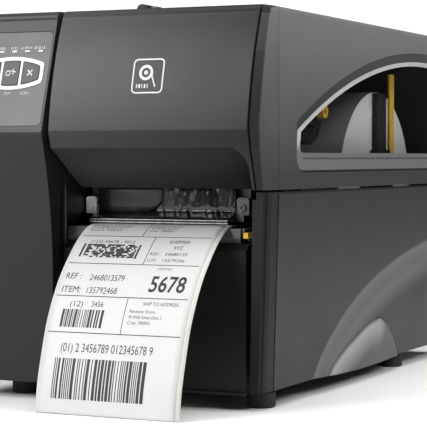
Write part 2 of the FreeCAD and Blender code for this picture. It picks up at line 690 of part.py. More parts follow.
def label_web():
    """Stock from the roll to the head, then the printed label down to the floor."""
    ahead = (-1.0, 0.0)
    feed = web_strip([(ROLL_Y - 66.0, 74.0), (232.0, 66.0), (190.0, 80.0), (150.0, 108.0),
                      (100.0, WEB_Z)], (-0.97, -0.24), ahead)
    flat = box(WEB_LEFT, WEB_RIGHT, 37.0, 100.0, WEB_Z - WEB_T / 2, WEB_Z + WEB_T / 2)
    hang = web_strip([(37.0, WEB_Z), (22.5, 116.3), (6.5, 104.0), (-12.0, 84.3), (-27.0, 60.0),
                      (-36.5, 35.0), (-42.5, 15.0), (-45.8, FOOT_Z + 0.4)], ahead, (-0.1, -0.99))
    return joined([feed, flat, hang])


def media_roll():
    return wound(ROLL_Y, ROLL_Z, CORE_R, ROLL_R, WEB_LEFT, WEB_RIGHT)


def roll_core():
    return wound(ROLL_Y, ROLL_Z, CORE_BORE, CORE_R, WEB_LEFT, WEB_RIGHT)


def media_hanger():
    """Half-round beam that the roll hangs on."""
    beam = rod_x(ROLL_Y, ROLL_Z, 37.5, -42.5, 100.0)
    keep = box(-50, 110, ROLL_Y - 13, ROLL_Y + 13, ROLL_Z + 20, ROLL_Z + 40)
    beam = beam.common(keep)
    flange = box(-42.5, -38.0, ROLL_Y - 24, ROLL_Y + 24, ROLL_Z - 20, ROLL_Z + 34)
    return joined([beam, flange])


def supply_guide():
    """Upright blade that slides along the hanger against the roll."""
    x0, x1 = 88.0, 92.0
    blade = box(x0, x1, ROLL_Y - 10, ROLL_Y + 12, 120.0, 224.0)
    foot_piece = box(x0, x1, ROLL_Y - 26, ROLL_Y + 30, 120.0, 172.0)
    collar = box(x0, x1 + 3, ROLL_Y - 15.4, ROLL_Y + 13.8, 152.0, 176.4)
    body = joined([blade, foot_piece, collar])
    slot = rod_x(ROLL_Y, ROLL_Z, 37.8, 80, 110)
    slot = slot.common(box(80, 110, ROLL_Y - 13.3, ROLL_Y + 13.3, ROLL_Z + 19.7, ROLL_Z + 40))
    return body.cut(slot)


def guide_post():
    """Bright upright finger on the supply guide."""
    post = box(92.0, 95.2, ROLL_Y + 14.0, ROLL_Y + 24.0, 160.0, 240.5)
    return rounded(post, 1.5, lambda m, e: along(e, 2))


def media_sensor():
    """Gap sensor fork under the web, on its own bar."""
    bar = box(-40.4, 92.0, 106.0, 112.0, 96.0, 99.0)
    eye = box(10.0, 24.0, 98.0, 114.0, 98.9, 112.0)
    return joined([bar, eye])


def front_cover():
    """Lower front moulding under the label exit."""
    face = slab_x([(26.0, 6.8), (26.0, 105.0), (31.6, 110.5), (31.6, 107.0), (28.6, 104.0),
                   (28.6, 6.8)], -40.2, 103.0)
    lip = box(-40.2, 103.0, 23.4, 28.6, 6.0, 8.0)
    side = box(101.0, 103.0, 26.0, 55.0, 10.1, 106.0)
    return joined([face, lip, side])


# ---- media door -----------------------------------------------------------
def door_front_panel():
    skin = band(front_outline(), -SKIN, PANEL_LEFT, PANEL_RIGHT)
    slope = slab_x([(6.3, 177.0), (16.4, SPLIT_Z + 0.9), (18.9, SPLIT_Z + 0.9), (9.0, 177.5)],
                   90.0, PANEL_RIGHT)
    def at(x, z):
        return Vector(x, 0, z)
    edge = Part.Wire([line(at(99.0, 178.0), at(PANEL_RIGHT, 178.0)),
                      line(at(PANEL_RIGHT, 178.0), at(PANEL_RIGHT, 140.0)),
                      line(at(PANEL_RIGHT, 140.0), at(111.8, 140.0)),
                      line(at(111.8, 140.0), at(111.8, 158.0)),
                      arc(at(111.8, 158.0), at(108.6, 170.6), at(99.0, 177.6)),
                      line(at(99.0, 177.6), at(99.0, 178.0))])
    leg = slope.common(Part.Face(edge).extrude(Vector(0, 60, 0)))
    end = slab_x([(6.4, 177.0), (15.1, 152.2), (48.0, 152.2), (8.5, 178.0)],
                 PANEL_RIGHT - 2.0, PANEL_RIGHT)
    rib = [(8.7, 215), (19.8, 256), (24.9, 268), (30.6, 272.6), (30.6, 262), (24, 230)]
    ribs = [slab_x(rib, x, x + 2.0) for x in (-20.0, 40.0, 90.0)]
    shell = joined([skin, leg, end])
    for piece in ribs:
        shell = shell.fuse(piece)
    mark = box(23.8, 48.0, -20, 40, 214.4, 238.8)
    return shell.removeSplitter().cut(emblem_groove(mark))


def emblem_groove(area):
    """Shallow square groove, the plain badge on the door front."""
    outer = rounded(area, 3.4, lambda m, e: along(e, 1))
    inner = box(24.9, 46.9, -21, 41, 215.5, 237.7)
    inner = rounded(inner, 2.5, lambda m, e: along(e, 1))
    skin = band(front_outline(), -0.35, 0, 60)
    return outer.cut(inner).common(skin)


def corner_section(z, front_y, edge_y):
    """Plan outline of the rounded front corner at one height."""
    x = SIDE_X
    flat_y = min(edge_y + 8.0, SEAM_Y - 0.6)
    points = [(x - 6.6, front_y), (x - 2.0, edge_y), (x, flat_y), (x, SEAM_Y),
              (x - SKIN, SEAM_Y), (x - SKIN, flat_y + 0.3), (x - 4.6, edge_y + 2.4),
              (x - 6.6, front_y + 2.6)]
    return Part.makePolygon([Vector(a, b, z) for a, b in points + points[:1]])


def door_corner_upper():
    heights = [(269.0, 25.5, 31.6), (243.0, 16.0, 23.3), (215.0, 9.0, 17.2), (192.0, 5.0, 12.9),
               (177.0, 8.2, 13.8), (SPLIT_Z + 0.9, 17.6, 18.6)]
    sections = [corner_section(z, a, b) for z, a, b in heights]
    body = Part.makeLoft(sections, True, True)
    cap = slab_z([(114.4, 26.5), (119.0, 32.4), (SIDE_X, SEAM_Y), (114.4, SEAM_Y)],
                 268.5, ROOF_Z)
    cap = rounded(cap, EDGE_R - 0.1, lambda m, e: m.z > ROOF_Z - 0.1 and m.x > 118.6)
    return joined([body, cap])


def door_side_upper():
    def at(x, z):
        return Vector(x, 0, z)
    wire = Part.Wire([line(at(SIDE_X, SPLIT_Z + 0.9), at(SIDE_X, ROOF_Z - EDGE_R)),
                      arc(at(SIDE_X, ROOF_Z - EDGE_R), at(SIDE_X - 1.46, ROOF_Z - 1.46),
                          at(SIDE_X - EDGE_R, ROOF_Z)),
                      line(at(SIDE_X - EDGE_R, ROOF_Z), at(16.4, ROOF_Z))])
    face = wire.makeOffset2D(SKIN, join=2, fill=True, openResult=True)
    if face.BoundBox.XMax > SIDE_X + 0.1:
        face = wire.makeOffset2D(-SKIN, join=2, fill=True, openResult=True)
    face.translate(Vector(0, SEAM_Y + 0.5, 0))
    sheet = face.extrude(Vector(0, DOOR_END - SEAM_Y - 0.5, 0))
    front = box(16.4, 113.9, 31.0, SEAM_Y + 1.0, ROOF_Z - SKIN, ROOF_Z)
    starts = [start + KNUCKLE_L + 0.4 for start in HINGE_STARTS]
    ring = knuckles(HINGE_X, HINGE_Z, KNUCKLE_R, starts, KNUCKLE_L, PIN_R + 0.06,
                    (HINGE_X, 16.5, ROOF_Z - SKIN, ROOF_Z))
    sheet = joined([sheet, front] + ring)
    window = trim_face(110.0).extrude(Vector(20, 0, 0))
    recess = recess_face(SIDE_X - 1.3).extrude(Vector(5, 0, 0))
    return sheet.cut(window).cut(recess)


def window_trim():
    outer = trim_face(117.2).extrude(Vector(3.1, 0, 0))
    inner = window_face(110.0).extrude(Vector(20, 0, 0))
    ring = outer.cut(inner)
    sill = box(119.4, 122.0, 88.0, 409.0, 169.0, 170.2)
    return ring.cut(sill)


def window_pane():
    return trim_face(115.9).extrude(Vector(1.3, 0, 0))


def knuckles(x, z, radius, starts, reach, hole, leaf):
    """Row of hinge knuckles on one leaf."""
    pieces = []
    for y in starts:
        barrel_part = rod_y(x, z, radius, y, y + reach)
        x0, x1, z0, z1 = leaf
        tab = box(x0, x1, y, y + reach, z0, z1)
        pieces.append(barrel_part.fuse(tab).removeSplitter().cut(rod_y(x, z, hole, y - 1, y + reach + 1)))
    return pieces


def roof_hinge():
    """Fixed knuckles along the roof, with the pins pressed into them."""
    starts = [y for s in HINGE_STARTS for y in (s, s + 2 * KNUCKLE_L + 0.8)]
    fixed = knuckles(HINGE_X, HINGE_Z, KNUCKLE_R, starts, KNUCKLE_L, PIN_R,
                     (7.7, HINGE_X, 273.0, ROOF_Z))
    pins = [rod_y(HINGE_X, HINGE_Z, PIN_R, s, s + 3 * KNUCKLE_L + 0.8) for s in HINGE_STARTS]
    return group(fixed + pins)


def lower_skin():
    outline = [(SIDE_X, SPLIT_Z - 0.6), (117.0, 8.2), (114.4, 8.2), (118.4, SPLIT_Z - 0.6)]
    return slab_y(outline, SEAM_Y + 0.5, DOOR_END)


def relief_face(x):
    """Low arch that swells out of the lower door leaf."""
    def at(y, z):
        return Vector(x, y, z)
    end = DOOR_END - 0.4
    edges = [spline([at(117.0, 8.4), at(147.0, 33.5), at(211.5, 64.0), at(306.5, 88.0),
                     at(end, 103.0)]),
             line(at(end, 103.0), at(end, 8.4)),
             line(at(end, 8.4), at(117.0, 8.4))]
    return Part.Face(Part.Wire(edges))


def ellipsoid(center, sizes, lean):
    ball = Part.makeSphere(1.0)
    scale = FreeCAD.Matrix(sizes[0], 0, 0, 0, 0, sizes[1], 0, 0, 0, 0, sizes[2], 0, 0, 0, 0, 1)
    egg = ball.transformGeometry(scale)
    egg.rotate(Vector(0, 0, 0), Vector(1, 0, 0), lean)
    egg.translate(Vector(*center))
    return egg


def door_side_lower():
    """Lower leaf of the side with a raised arch and a swelling at its foot."""
    room = slab_y([(119.4, 8.2), (120.9, 110.0), (116.0, 110.0), (114.9, 8.2)], 110, DOOR_END)
    pad = relief_face(112.0).extrude(Vector(10.0, 0, 0)).common(room)
    swelling = ellipsoid((111.5, 222.0, 4.0), (9.4, 76.0, 43.0), 8.0)
    swelling = swelling.common(box(115.5, 121, 120, 330, 6.6, 60))
    starts = [y for s in FOLD_STARTS for y in (s, s + 2 * FOLD_L + 0.8)]
    rings = knuckles(FOLD_X, FOLD_Z, 2.6, starts, FOLD_L, FOLD_PIN_R + 0.06,
                     (FOLD_X, 118.9, FOLD_Z - 2.6, FOLD_Z - 0.6))
    return joined([lower_skin(), pad, swelling] + rings)


def door_corner_lower():
    """Lower corner moulding, notched at the top to clear the upper one as it folds."""
    def section(z, drop, inner):
        x = SIDE_X - drop
        points = [(inner, 22.0), (x - 3.2, 22.0), (x - 2.8, 22.8), (x - 3.6, 25.0), (x - 2.0, 27.2),
                  (x - 0.9, 31.0), (x, 40.2), (x - SKIN, 40.2), (x - 3.4, 32.0), (x - 4.6, 28.6),
                  (x - 6.0, 25.0), (inner, 24.4)]
        return Part.makePolygon([Vector(a, b, z) for a, b in points + points[:1]])
    strip = Part.makeLoft([section(8.2, 4.0, 107.6), section(SPLIT_Z - 0.6, 0.0, 109.6)], True,
                          True)
    return strip.cut(box(105.0, 112.4, 20.0, 30.0, 141.2, 150.0))


def fold_hinge():
    """Middle knuckles on the upper leaf, with the pins pressed into them."""
    rings = knuckles(FOLD_X, FOLD_Z, 2.6, [s + FOLD_L + 0.4 for s in FOLD_STARTS], FOLD_L,
                     FOLD_PIN_R, (112.9, 114.4, FOLD_Z, 158.0))
    pieces = []
    for start, ring in zip(FOLD_STARTS, rings):
        y = start + FOLD_L + 0.4
        tab = box(112.9, 118.5, y, y + FOLD_L, 156.5, 158.5)
        pieces.append(ring.fuse(tab).removeSplitter())
        pieces.append(rod_y(FOLD_X, FOLD_Z, FOLD_PIN_R, start, start + 3 * FOLD_L + 0.8))
    return group(pieces)


# ---- write every node -----------------------------------------------------
NODES = {
    "control_bezel": control_bezel,
    "control_overlay": control_overlay,
    "key_ring": key_ring,
    "pause_key": lambda: key(0),
    "feed_key": lambda: key(1),
    "cancel_key": lambda: key(2),
    "status_lights": status_lights,
    "control_board": control_board,
    "electronics_cover": electronics_cover,
    "center_wall": center_wall,
    "base_pan": base_pan,
    "feet": feet,
    "rear_panel": rear_panel,
    "power_inlet": power_inlet,
    "power_rocker": power_rocker,
    "usb_port": usb_port,
    "serial_port": serial_port,
    "main_board": main_board,
    "power_supply": power_supply,
    "stepper_motor": stepper_motor,
    "motor_pulley": motor_pulley,
    "drive_belt": drive_belt,
    "mech_plate": mech_plate,
    "platen_support": platen_support,
    "platen_bearings": platen_bearings,
    "platen_roller": platen_roller,
    "platen_shaft": platen_shaft,
    "tear_bar": tear_bar,
    "media_guide": media_guide,
    "media_sensor": media_sensor,
    "printhead_bracket": printhead_bracket,
    "printhead_heatsink": printhead_heatsink,
    "printhead_board": printhead_board,
    "head_side_brackets": head_side_brackets,
    "ribbon_film": ribbon_film,
    "pressure_toggle_left": lambda: pressure_toggle(TOGGLES_X[0]),
    "pressure_toggle_right": lambda: pressure_toggle(TOGGLES_X[1]),
    "head_lever": head_lever,
    "ribbon_supply_spindle": lambda: spindle(SUPPLY_Y, SUPPLY_Z, 90.0),
    "spindle_cap": spindle_cap,
    "ribbon_supply_roll": lambda: wound(SUPPLY_Y, SUPPLY_Z, RIBBON_CORE, 26.0, *RIBBON_X),
    "ribbon_takeup_spindle": lambda: spindle(TAKEUP_Y, TAKEUP_Z, 84.0),
    "ribbon_takeup_roll": lambda: wound(TAKEUP_Y, TAKEUP_Z, RIBBON_CORE, 17.0, *RIBBON_X),
    "ribbon_runs": ribbon_runs,
    "label_web": label_web,
    "media_roll": media_roll,
    "roll_core": roll_core,
    "media_hanger": media_hanger,
    "supply_guide": supply_guide,
    "guide_post": guide_post,
    "front_cover": front_cover,
    "door_front_panel": door_front_panel,
    "door_corner_upper": door_corner_upper,
    "door_side_upper": door_side_upper,
    "window_trim": window_trim,
    "window_pane": window_pane,
    "roof_hinge": roof_hinge,
    "fold_hinge": fold_hinge,
    "door_side_lower": door_side_lower,
    "door_corner_lower": door_corner_lower,
}


def main():
    for name, maker in NODES.items():
        put(name, maker())


if __name__ == "__main__":
    main()
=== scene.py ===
import math
import random

import bmesh
import bpy
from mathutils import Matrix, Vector


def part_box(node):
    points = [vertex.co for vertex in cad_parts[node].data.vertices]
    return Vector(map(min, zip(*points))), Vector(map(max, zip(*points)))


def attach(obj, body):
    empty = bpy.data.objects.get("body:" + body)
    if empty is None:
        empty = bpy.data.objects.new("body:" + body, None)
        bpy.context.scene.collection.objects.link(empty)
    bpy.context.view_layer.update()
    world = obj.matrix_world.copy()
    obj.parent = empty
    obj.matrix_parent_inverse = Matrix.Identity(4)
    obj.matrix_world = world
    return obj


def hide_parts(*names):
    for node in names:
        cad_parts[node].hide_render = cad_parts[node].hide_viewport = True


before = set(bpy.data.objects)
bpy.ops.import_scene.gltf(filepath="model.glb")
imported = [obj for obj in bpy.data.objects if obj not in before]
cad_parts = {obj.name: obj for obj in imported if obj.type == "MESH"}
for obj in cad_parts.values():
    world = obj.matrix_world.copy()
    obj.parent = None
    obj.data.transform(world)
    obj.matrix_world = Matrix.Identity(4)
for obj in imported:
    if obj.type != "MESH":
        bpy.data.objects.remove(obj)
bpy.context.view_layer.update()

# ---- Base pan and feet ------------------------------------------------------
# The floor of the machine is a pressed steel pan with a fine black powder coat.
# Four rubber feet are pushed into its corners and carry the whole weight.
CREASE = 193.0          # drawing Y of the middle of the machine, in mm from the front crease
FEET = 4.0              # how far the feet reach below the drawing's zero


def at(x, y, z):
    """A drawing point in mm, with y from the front crease, as a row-frame point in m."""
    return Vector((x, y - CREASE, z + FEET)) / 1000


def show(name, data):
    """Put mesh, lamp, curve or camera data in the scene as an object at the origin."""
    thing = bpy.data.objects.new(name, data)
    bpy.context.scene.collection.objects.link(thing)
    return thing


def as_mesh(bm, name):
    """Turn finished working geometry into a plain mesh."""
    mesh = bpy.data.meshes.new(name)
    bm.to_mesh(mesh)
    bm.free()
    return mesh


def add(tree, kind, **settings):
    """Add a node and set its own settings."""
    made = tree.nodes.new(kind)
    for key, value in settings.items():
        setattr(made, key, value)
    return made


def start_finish(name, colour, rough, metal=0.0, coat=0.0, coat_rough=0.1, specular=0.5):
    """A material with its even values set on the shader itself."""
    mat = bpy.data.materials.new(name)
    mat.use_nodes = True
    mat.diffuse_color = (*colour, 1)
    shader = mat.node_tree.nodes["Principled BSDF"]
    shader.inputs["Base Color"].default_value = (*colour, 1)
    shader.inputs["Roughness"].default_value = rough
    shader.inputs["Metallic"].default_value = metal
    shader.inputs["Coat Weight"].default_value = coat
    shader.inputs["Coat Roughness"].default_value = coat_rough
    shader.inputs["Specular IOR Level"].default_value = specular
    return mat, mat.node_tree, shader


def node(tree, kind, **values):
    """Add a node and set its input sockets by name, spaces as underscores."""
    made = tree.nodes.new(kind)
    for key, value in values.items():
        made.inputs[key.replace("_", " ")].default_value = value
    return made


def place_on(tree, stretch=(1, 1, 1)):
    """Object coordinates, stretched for grain that runs one way."""
    where = tree.nodes.new("ShaderNodeTexCoord")
    shape = node(tree, "ShaderNodeMapping", Scale=stretch)
    tree.links.new(where.outputs["Object"], shape.inputs["Vector"])
    return shape.outputs["Vector"]


def spread(tree, value, low, high, from_low=0.3, from_high=0.7):
    """Stretch a 0 to 1 value to a new range."""
    rng = node(tree, "ShaderNodeMapRange")
    for i, v in enumerate((from_low, from_high, low, high)):
        rng.inputs[i + 1].default_value = v
    tree.links.new(value, rng.inputs[0])
    return rng.outputs[0]


def two_tones(tree, factor, dark, light):
    """Blend two colours by a factor."""
    mix = add(tree, "ShaderNodeMix", data_type="RGBA")
    mix.inputs[6].default_value = (*dark, 1)
    mix.inputs[7].default_value = (*light, 1)
    tree.links.new(factor, mix.inputs[0])
    return mix.outputs[2]


def joined(tree, way, one, two):
    """One number from two."""
    made = add(tree, "ShaderNodeMath", operation=way)
    tree.links.new(one, made.inputs[0])
    tree.links.new(two, made.inputs[1])
    return made.outputs[0]


def shade_along(tree, tint, groups):
    """Darken a tint along axes: the lighter fade of a group counts, and groups multiply.

    This is a tone set in the finish to echo soft side light, not a pigment of the plastic.
    """
    where = tree.nodes.new("ShaderNodeTexCoord")
    split = tree.nodes.new("ShaderNodeSeparateXYZ")
    tree.links.new(where.outputs["Object"], split.inputs[0])
    total = None
    for group in groups:
        share = None
        for axis, dark_end, light_end, dark_share in group:
            part = spread(tree, split.outputs[axis], dark_share, 1.0, dark_end, light_end)
            share = part if share is None else joined(tree, "MAXIMUM", share, part)
        total = share if total is None else joined(tree, "MULTIPLY", total, share)
    scale = add(tree, "ShaderNodeVectorMath", operation="SCALE")
    tree.links.new(tint, scale.inputs[0])
    tree.links.new(total, scale.inputs["Scale"])
    return scale.outputs[0]


def surface(name, colour, rough, grain=1500.0, height=0.00006, tone=0.04, edge_wear_and_highlight=0.0,
            stretch=(1, 1, 1), edge=0.0006, wear_and_highlight_gain=2.2, painted_shade=(), **gloss):
    """A finish with fine grain, slow colour drift and slightly softened edges made paler: partly
    wear, partly a painted highlight. Painted shade can be added along axes.
    """
    mat, tree, shader = start_finish(name, colour, rough, **gloss)
    where = place_on(tree, stretch)
    fine = node(tree, "ShaderNodeTexNoise", Scale=grain, Detail=2.0)
    slow = node(tree, "ShaderNodeTexNoise", Scale=24.0, Detail=3.0)
    tree.links.new(where, fine.inputs["Vector"])
    tree.links.new(where, slow.inputs["Vector"])
    dark = tuple(c * (1 - tone) for c in colour)
    light = tuple(min(1, c * (1 + tone)) for c in colour)
    tint = two_tones(tree, spread(tree, slow.outputs["Fac"], 0, 1), dark, light)
    soft = node(tree, "ShaderNodeBevel", Radius=edge)
    soft.samples = 4
    # Edges are made paler here: partly wear, partly a painted highlight.
    if edge_wear_and_highlight:
        shape = tree.nodes.new("ShaderNodeNewGeometry")
        turn = add(tree, "ShaderNodeVectorMath", operation="DOT_PRODUCT")
        tree.links.new(shape.outputs["Normal"], turn.inputs[0])
        tree.links.new(soft.outputs["Normal"], turn.inputs[1])
        wear_and_highlight_share = spread(tree, turn.outputs["Value"], edge_wear_and_highlight, 0.0, 0.75, 0.995)
        paler = add(tree, "ShaderNodeMix", data_type="RGBA")
        paler.inputs[7].default_value = (*[min(1, c * wear_and_highlight_gain + 0.02) for c in colour], 1)
        tree.links.new(wear_and_highlight_share, paler.inputs[0])
        tree.links.new(tint, paler.inputs[6])
        tint = paler.outputs[2]
    # Painted shade: the tint is darkened along axes by shade_along.
    if painted_shade:
        tint = shade_along(tree, tint, painted_shade)
    bump = node(tree, "ShaderNodeBump", Strength=0.6, Distance=height)
    tree.links.new(fine.outputs["Fac"], bump.inputs["Height"])
    tree.links.new(soft.outputs["Normal"], bump.inputs["Normal"])
    tree.links.new(tint, shader.inputs["Base Color"])
    tree.links.new(spread(tree, slow.outputs["Fac"], rough - 0.02, rough + 0.02),
                   shader.inputs["Roughness"])
    tree.links.new(bump.outputs["Normal"], shader.inputs["Normal"])
    return mat


def dress(mat, *names):
    """Give CAD nodes a finish."""
    for name in names:
        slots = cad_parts[name].data.materials
        slots.clear()
        slots.append(mat)


black_powder_coat = surface("black_powder_coat", (0.022, 0.022, 0.023), 0.55, grain=2200,
                            height=0.00012, edge_wear_and_highlight=0.3)
foot_rubber = surface("foot_rubber", (0.018, 0.018, 0.018), 0.75, grain=900, height=0.00008)
dress(black_powder_coat, "base_pan")
dress(foot_rubber, "feet")

# ---- Rear panel and its screws ----------------------------------------------
# A flat steel plate closes the back, coated like the pan and pierced for the sockets
# and vents. Zinc screws with a low head and a six-sided recess hold it on.
SCREW_SEAT = 431.0
SCREW_SPOTS = [(x, z) for x in (-113, -40, 35, 113) for z in (16, 266)]
SCREW_SPOTS += [(-113, 110), (113, 140), (-113, 196)]
SCREW_R = 3.1
SCREW_H = 0.75
FULL_TURN = 6.28


def keep(name, mesh, mat, body):
    """Finish a mesh as a named piece that rides on a body."""
    piece = show(name, mesh)
    if mat:
        mesh.materials.clear()
        mesh.materials.append(mat)
    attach(piece, body)
    return piece


def turned(profile, sides, recess=0.0):
    """A turned head about +Z from (radius, height) pairs, with a recess sunk in its top if asked.
    """
    bm = bmesh.new()
    rings = []
    for r, z in profile:
        rings.append([bm.verts.new((r * math.cos(a), r * math.sin(a), z))
                      for a in (2 * math.pi * k / sides for k in range(sides))])
    for low, high in zip(rings, rings[1:]):
        for k in range(sides):
            bm.faces.new((low[k], low[(k + 1) % sides], high[(k + 1) % sides], high[k]))
    bm.faces.new(rings[0][::-1])
    top = bm.faces.new(rings[-1])
    if recess:
        bmesh.ops.inset_region(bm, faces=[top], thickness=profile[-1][0] * 0.35)
        bmesh.ops.translate(bm, verts=list({v for v in top.verts}), vec=(0, 0, -recess))
    bmesh.ops.recalc_face_normals(bm, faces=bm.faces)
    return as_mesh(bm, "turned")


def start_tree(name, **sizes):
    """A geometry tree with named inputs, spaces as underscores, given by socket kind."""
    tree = bpy.data.node_groups.new(name, "GeometryNodeTree")
    tree.interface.new_socket("Geometry", in_out="INPUT", socket_type="NodeSocketGeometry")
    for key, kind in sizes.items():
        tree.interface.new_socket(key.replace("_", " "), in_out="INPUT",
                                  socket_type="NodeSocket" + kind)
    tree.interface.new_socket("Geometry", in_out="OUTPUT", socket_type="NodeSocketGeometry")
    return tree, tree.nodes.new("NodeGroupInput")


def end_tree(tree, shape, mat):
    """Make a tree's instances real, give them a finish and put them out."""
    real = tree.nodes.new("GeometryNodeRealizeInstances")
    paint = tree.nodes.new("GeometryNodeSetMaterial")
    paint.inputs["Material"].default_value = mat
    tree.links.new(shape, real.inputs[0])
    tree.links.new(real.outputs[0], paint.inputs["Geometry"])
    tree.links.new(paint.outputs[0], tree.nodes.new("NodeGroupOutput").inputs[0])
    return tree


def read_from_points(tree, name, kind):
    """A node that reads a named value from the points."""
    value = add(tree, "GeometryNodeInputNamedAttribute", data_type=kind)
    value.inputs["Name"].default_value = name
    return value


def repeat_tree(name, mat):
    """Nodes that stand one shape on every point of a mesh, facing along 'facing'."""
    tree, get = start_tree(name, Shape="Object", Size="Float", Turn_seed="Int")
    info = tree.nodes.new("GeometryNodeObjectInfo")
    points = tree.nodes.new("GeometryNodeMeshToPoints")
    stand = tree.nodes.new("GeometryNodeInstanceOnPoints")
    facing = read_from_points(tree, "facing", "FLOAT_VECTOR")
    align = add(tree, "FunctionNodeAlignRotationToVector", axis="Z")
    chance = add(tree, "FunctionNodeRandomValue", data_type="FLOAT")
    chance.inputs[3].default_value = FULL_TURN
    spin = tree.nodes.new("ShaderNodeCombineXYZ")
    turn = add(tree, "FunctionNodeRotateRotation", rotation_space="LOCAL")
    link = tree.links.new
    link(get.outputs["Geometry"], points.inputs["Mesh"])
    link(points.outputs[0], stand.inputs["Points"])
    link(get.outputs["Shape"], info.inputs["Object"])
    link(info.outputs["Geometry"], stand.inputs["Instance"])
    link(get.outputs["Size"], stand.inputs["Scale"])
    link(facing.outputs[0], align.inputs["Vector"])
    link(get.outputs["Turn seed"], chance.inputs["Seed"])
    link(chance.outputs[1], spin.inputs["Z"])
    link(align.outputs[0], turn.inputs[0])
    link(spin.outputs[0], turn.inputs[1])
    link(turn.outputs[0], stand.inputs["Rotation"])
    return end_tree(tree, stand.outputs[0], mat)


def bake_nodes(name, base, tree, values, body):
    """Run a node tree on a base mesh and keep the result as a plain mesh."""
    holder = show(name + "_base", base)
    modifier = holder.modifiers.new("shape", "NODES")
    modifier.node_group = tree
    for item in tree.interface.items_tree:
        if item.in_out == "INPUT" and item.name in values:
            modifier[item.identifier] = values[item.name]
    ready = holder.evaluated_get(bpy.context.evaluated_depsgraph_get())
    mesh = bpy.data.meshes.new_from_object(ready)
    bpy.data.objects.remove(holder)
    return keep(name, mesh, None, body)


def repeat_on(name, shape, spots, facing, mat, body, size=1.0, seed=3):
    """The shape once on each row-frame spot."""
    base = bpy.data.meshes.new(name + "_spots")
    base.from_pydata([tuple(s) for s in spots], [], [])
    way = base.attributes.new("facing", "FLOAT_VECTOR", "POINT")
    for i in range(len(spots)):
        way.data[i].vector = facing
    pattern = show(name + "_shape", shape)
    piece = bake_nodes(name, base, repeat_tree(name + "_nodes", mat),
                       {"Shape": pattern, "Size": size, "Turn seed": seed}, body)
    bpy.data.objects.remove(pattern)
    return piece


zinc = surface("bright_zinc", (0.55, 0.55, 0.53), 0.32, grain=600, height=0.00003, metal=1.0)
screw_head = turned([(SCREW_R / 1000, 0), (SCREW_R * 0.96 / 1000, 0.0003),
                     (SCREW_R * 0.7 / 1000, SCREW_H / 1000)], 18, recess=0.0005)
dress(black_powder_coat, "rear_panel")
repeat_on("rear_screws", screw_head, [at(x, SCREW_SEAT, z) for x, z in SCREW_SPOTS], (0, 1, 0),
          zinc, "chassis")

# ---- Electronics cover and centre wall ---------------------------------------
# One folded sheet makes the left side and half of the roof, charcoal powder coat with
# a gutter under the hinge. The black moulded wall behind it parts paper from wiring.
charcoal_coat = surface("charcoal_coat", (0.060, 0.061, 0.064), 0.5, grain=2400, height=0.00012,
                        edge_wear_and_highlight=0.2)
wall_plastic = surface("wall_plastic", (0.008, 0.008, 0.0085), 0.5, grain=1800, height=0.00008)
dress(charcoal_coat, "electronics_cover")
dress(wall_plastic, "center_wall")

# ---- Sockets and switch -------------------------------------------------------
# The inlet and switch frame is glossy black nylon with plated blades. The plug shells
# are bright steel, clipped in the plate from behind.
PIN_TIPS = [(-95 + k * 2.75, z) for k, z in enumerate((152.4, 149.6) * 3)]
gloss_nylon = surface("gloss_nylon", (0.014, 0.014, 0.015), 0.28, grain=1300, height=0.00003,
                      edge_wear_and_highlight=0.15)
plated_shell = surface("plated_shell", (0.62, 0.62, 0.6), 0.28, grain=700, height=0.00003,
                       metal=1.0)
gold_flash = surface("gold_flash", (0.80, 0.55, 0.18), 0.25, grain=900, height=0.00002, metal=1.0)
dress(gloss_nylon, "power_inlet", "power_rocker")
dress(plated_shell, "usb_port", "serial_port")
pin_tip = turned([(0.00052, -0.001), (0.00052, 0.0), (0.0003, 0.0004)], 10)
repeat_on("serial_pin_tips", pin_tip, [at(x, 430.6, z) for x, z in PIN_TIPS], (0, 1, 0),
          gold_flash, "chassis")

# ---- Boards, power supply and motor --------------------------------------------
# Green boards with a solder mask, a folded zinc case for the supply and a black
# stepper motor that turns the platen through a toothed belt.
solder_mask = surface("solder_mask", (0.010, 0.075, 0.035), 0.35, grain=500, height=0.00005,
                      tone=0.25)
motor_black = surface("motor_black", (0.02, 0.02, 0.021), 0.42, grain=800, height=0.00006,
                      edge_wear_and_highlight=0.3)
turned_alloy = surface("turned_alloy", (0.6, 0.61, 0.62), 0.3, grain=900, height=0.00004,
                       stretch=(6, 1, 1), metal=1.0)
belt_rubber = surface("belt_rubber", (0.015, 0.015, 0.015), 0.7, grain=1200, height=0.0001)
dress(solder_mask, "main_board", "control_board")
dress(zinc, "power_supply")
dress(motor_black, "stepper_motor")
dress(turned_alloy, "motor_pulley")
dress(belt_rubber, "drive_belt")

# ---- Mechanism plate, bridge and platen -----------------------------------------
# A zinc plate stands on a cast bridge and carries the print group. The platen is a
# ground rubber sleeve on a steel shaft, in plain black bearings behind the tear bar.
# Its edges are made strongly paler: partly wear, partly a painted highlight of the plate's bright
# edge.
plated_sheet = surface("plated_sheet", (0.10, 0.10, 0.102), 0.42, grain=420, height=0.00004,
                       stretch=(1, 1, 5), metal=1.0, tone=0.12, edge_wear_and_highlight=0.5, wear_and_highlight_gain=6.0)
cast_alloy = surface("cast_alloy", (0.05, 0.051, 0.053), 0.5, grain=900, height=0.00015,
                     tone=0.15, edge_wear_and_highlight=0.4)
ground_rubber = surface("ground_rubber", (0.03, 0.03, 0.031), 0.6, grain=1500, height=0.00006,
                        stretch=(0.1, 1, 1))
ground_steel = surface("ground_steel", (0.62, 0.62, 0.62), 0.25, grain=1200, height=0.00002,
                       stretch=(0.2, 1, 1), metal=1.0)
bearing_black = surface("bearing_black", (0.02, 0.02, 0.02), 0.45, grain=1400, height=0.00005)
gold_plastic = surface("gold_plastic", (0.86, 0.52, 0.06), 0.34, grain=1500, height=0.00004,
                       edge_wear_and_highlight=0.2)
dress(plated_sheet, "mech_plate")
dress(cast_alloy, "platen_support")
dress(ground_rubber, "platen_roller")
dress(ground_steel, "platen_shaft")
dress(cast_alloy, "tear_bar")
dress(bearing_black, "platen_bearings", "media_sensor")
dress(gold_plastic, "media_guide")

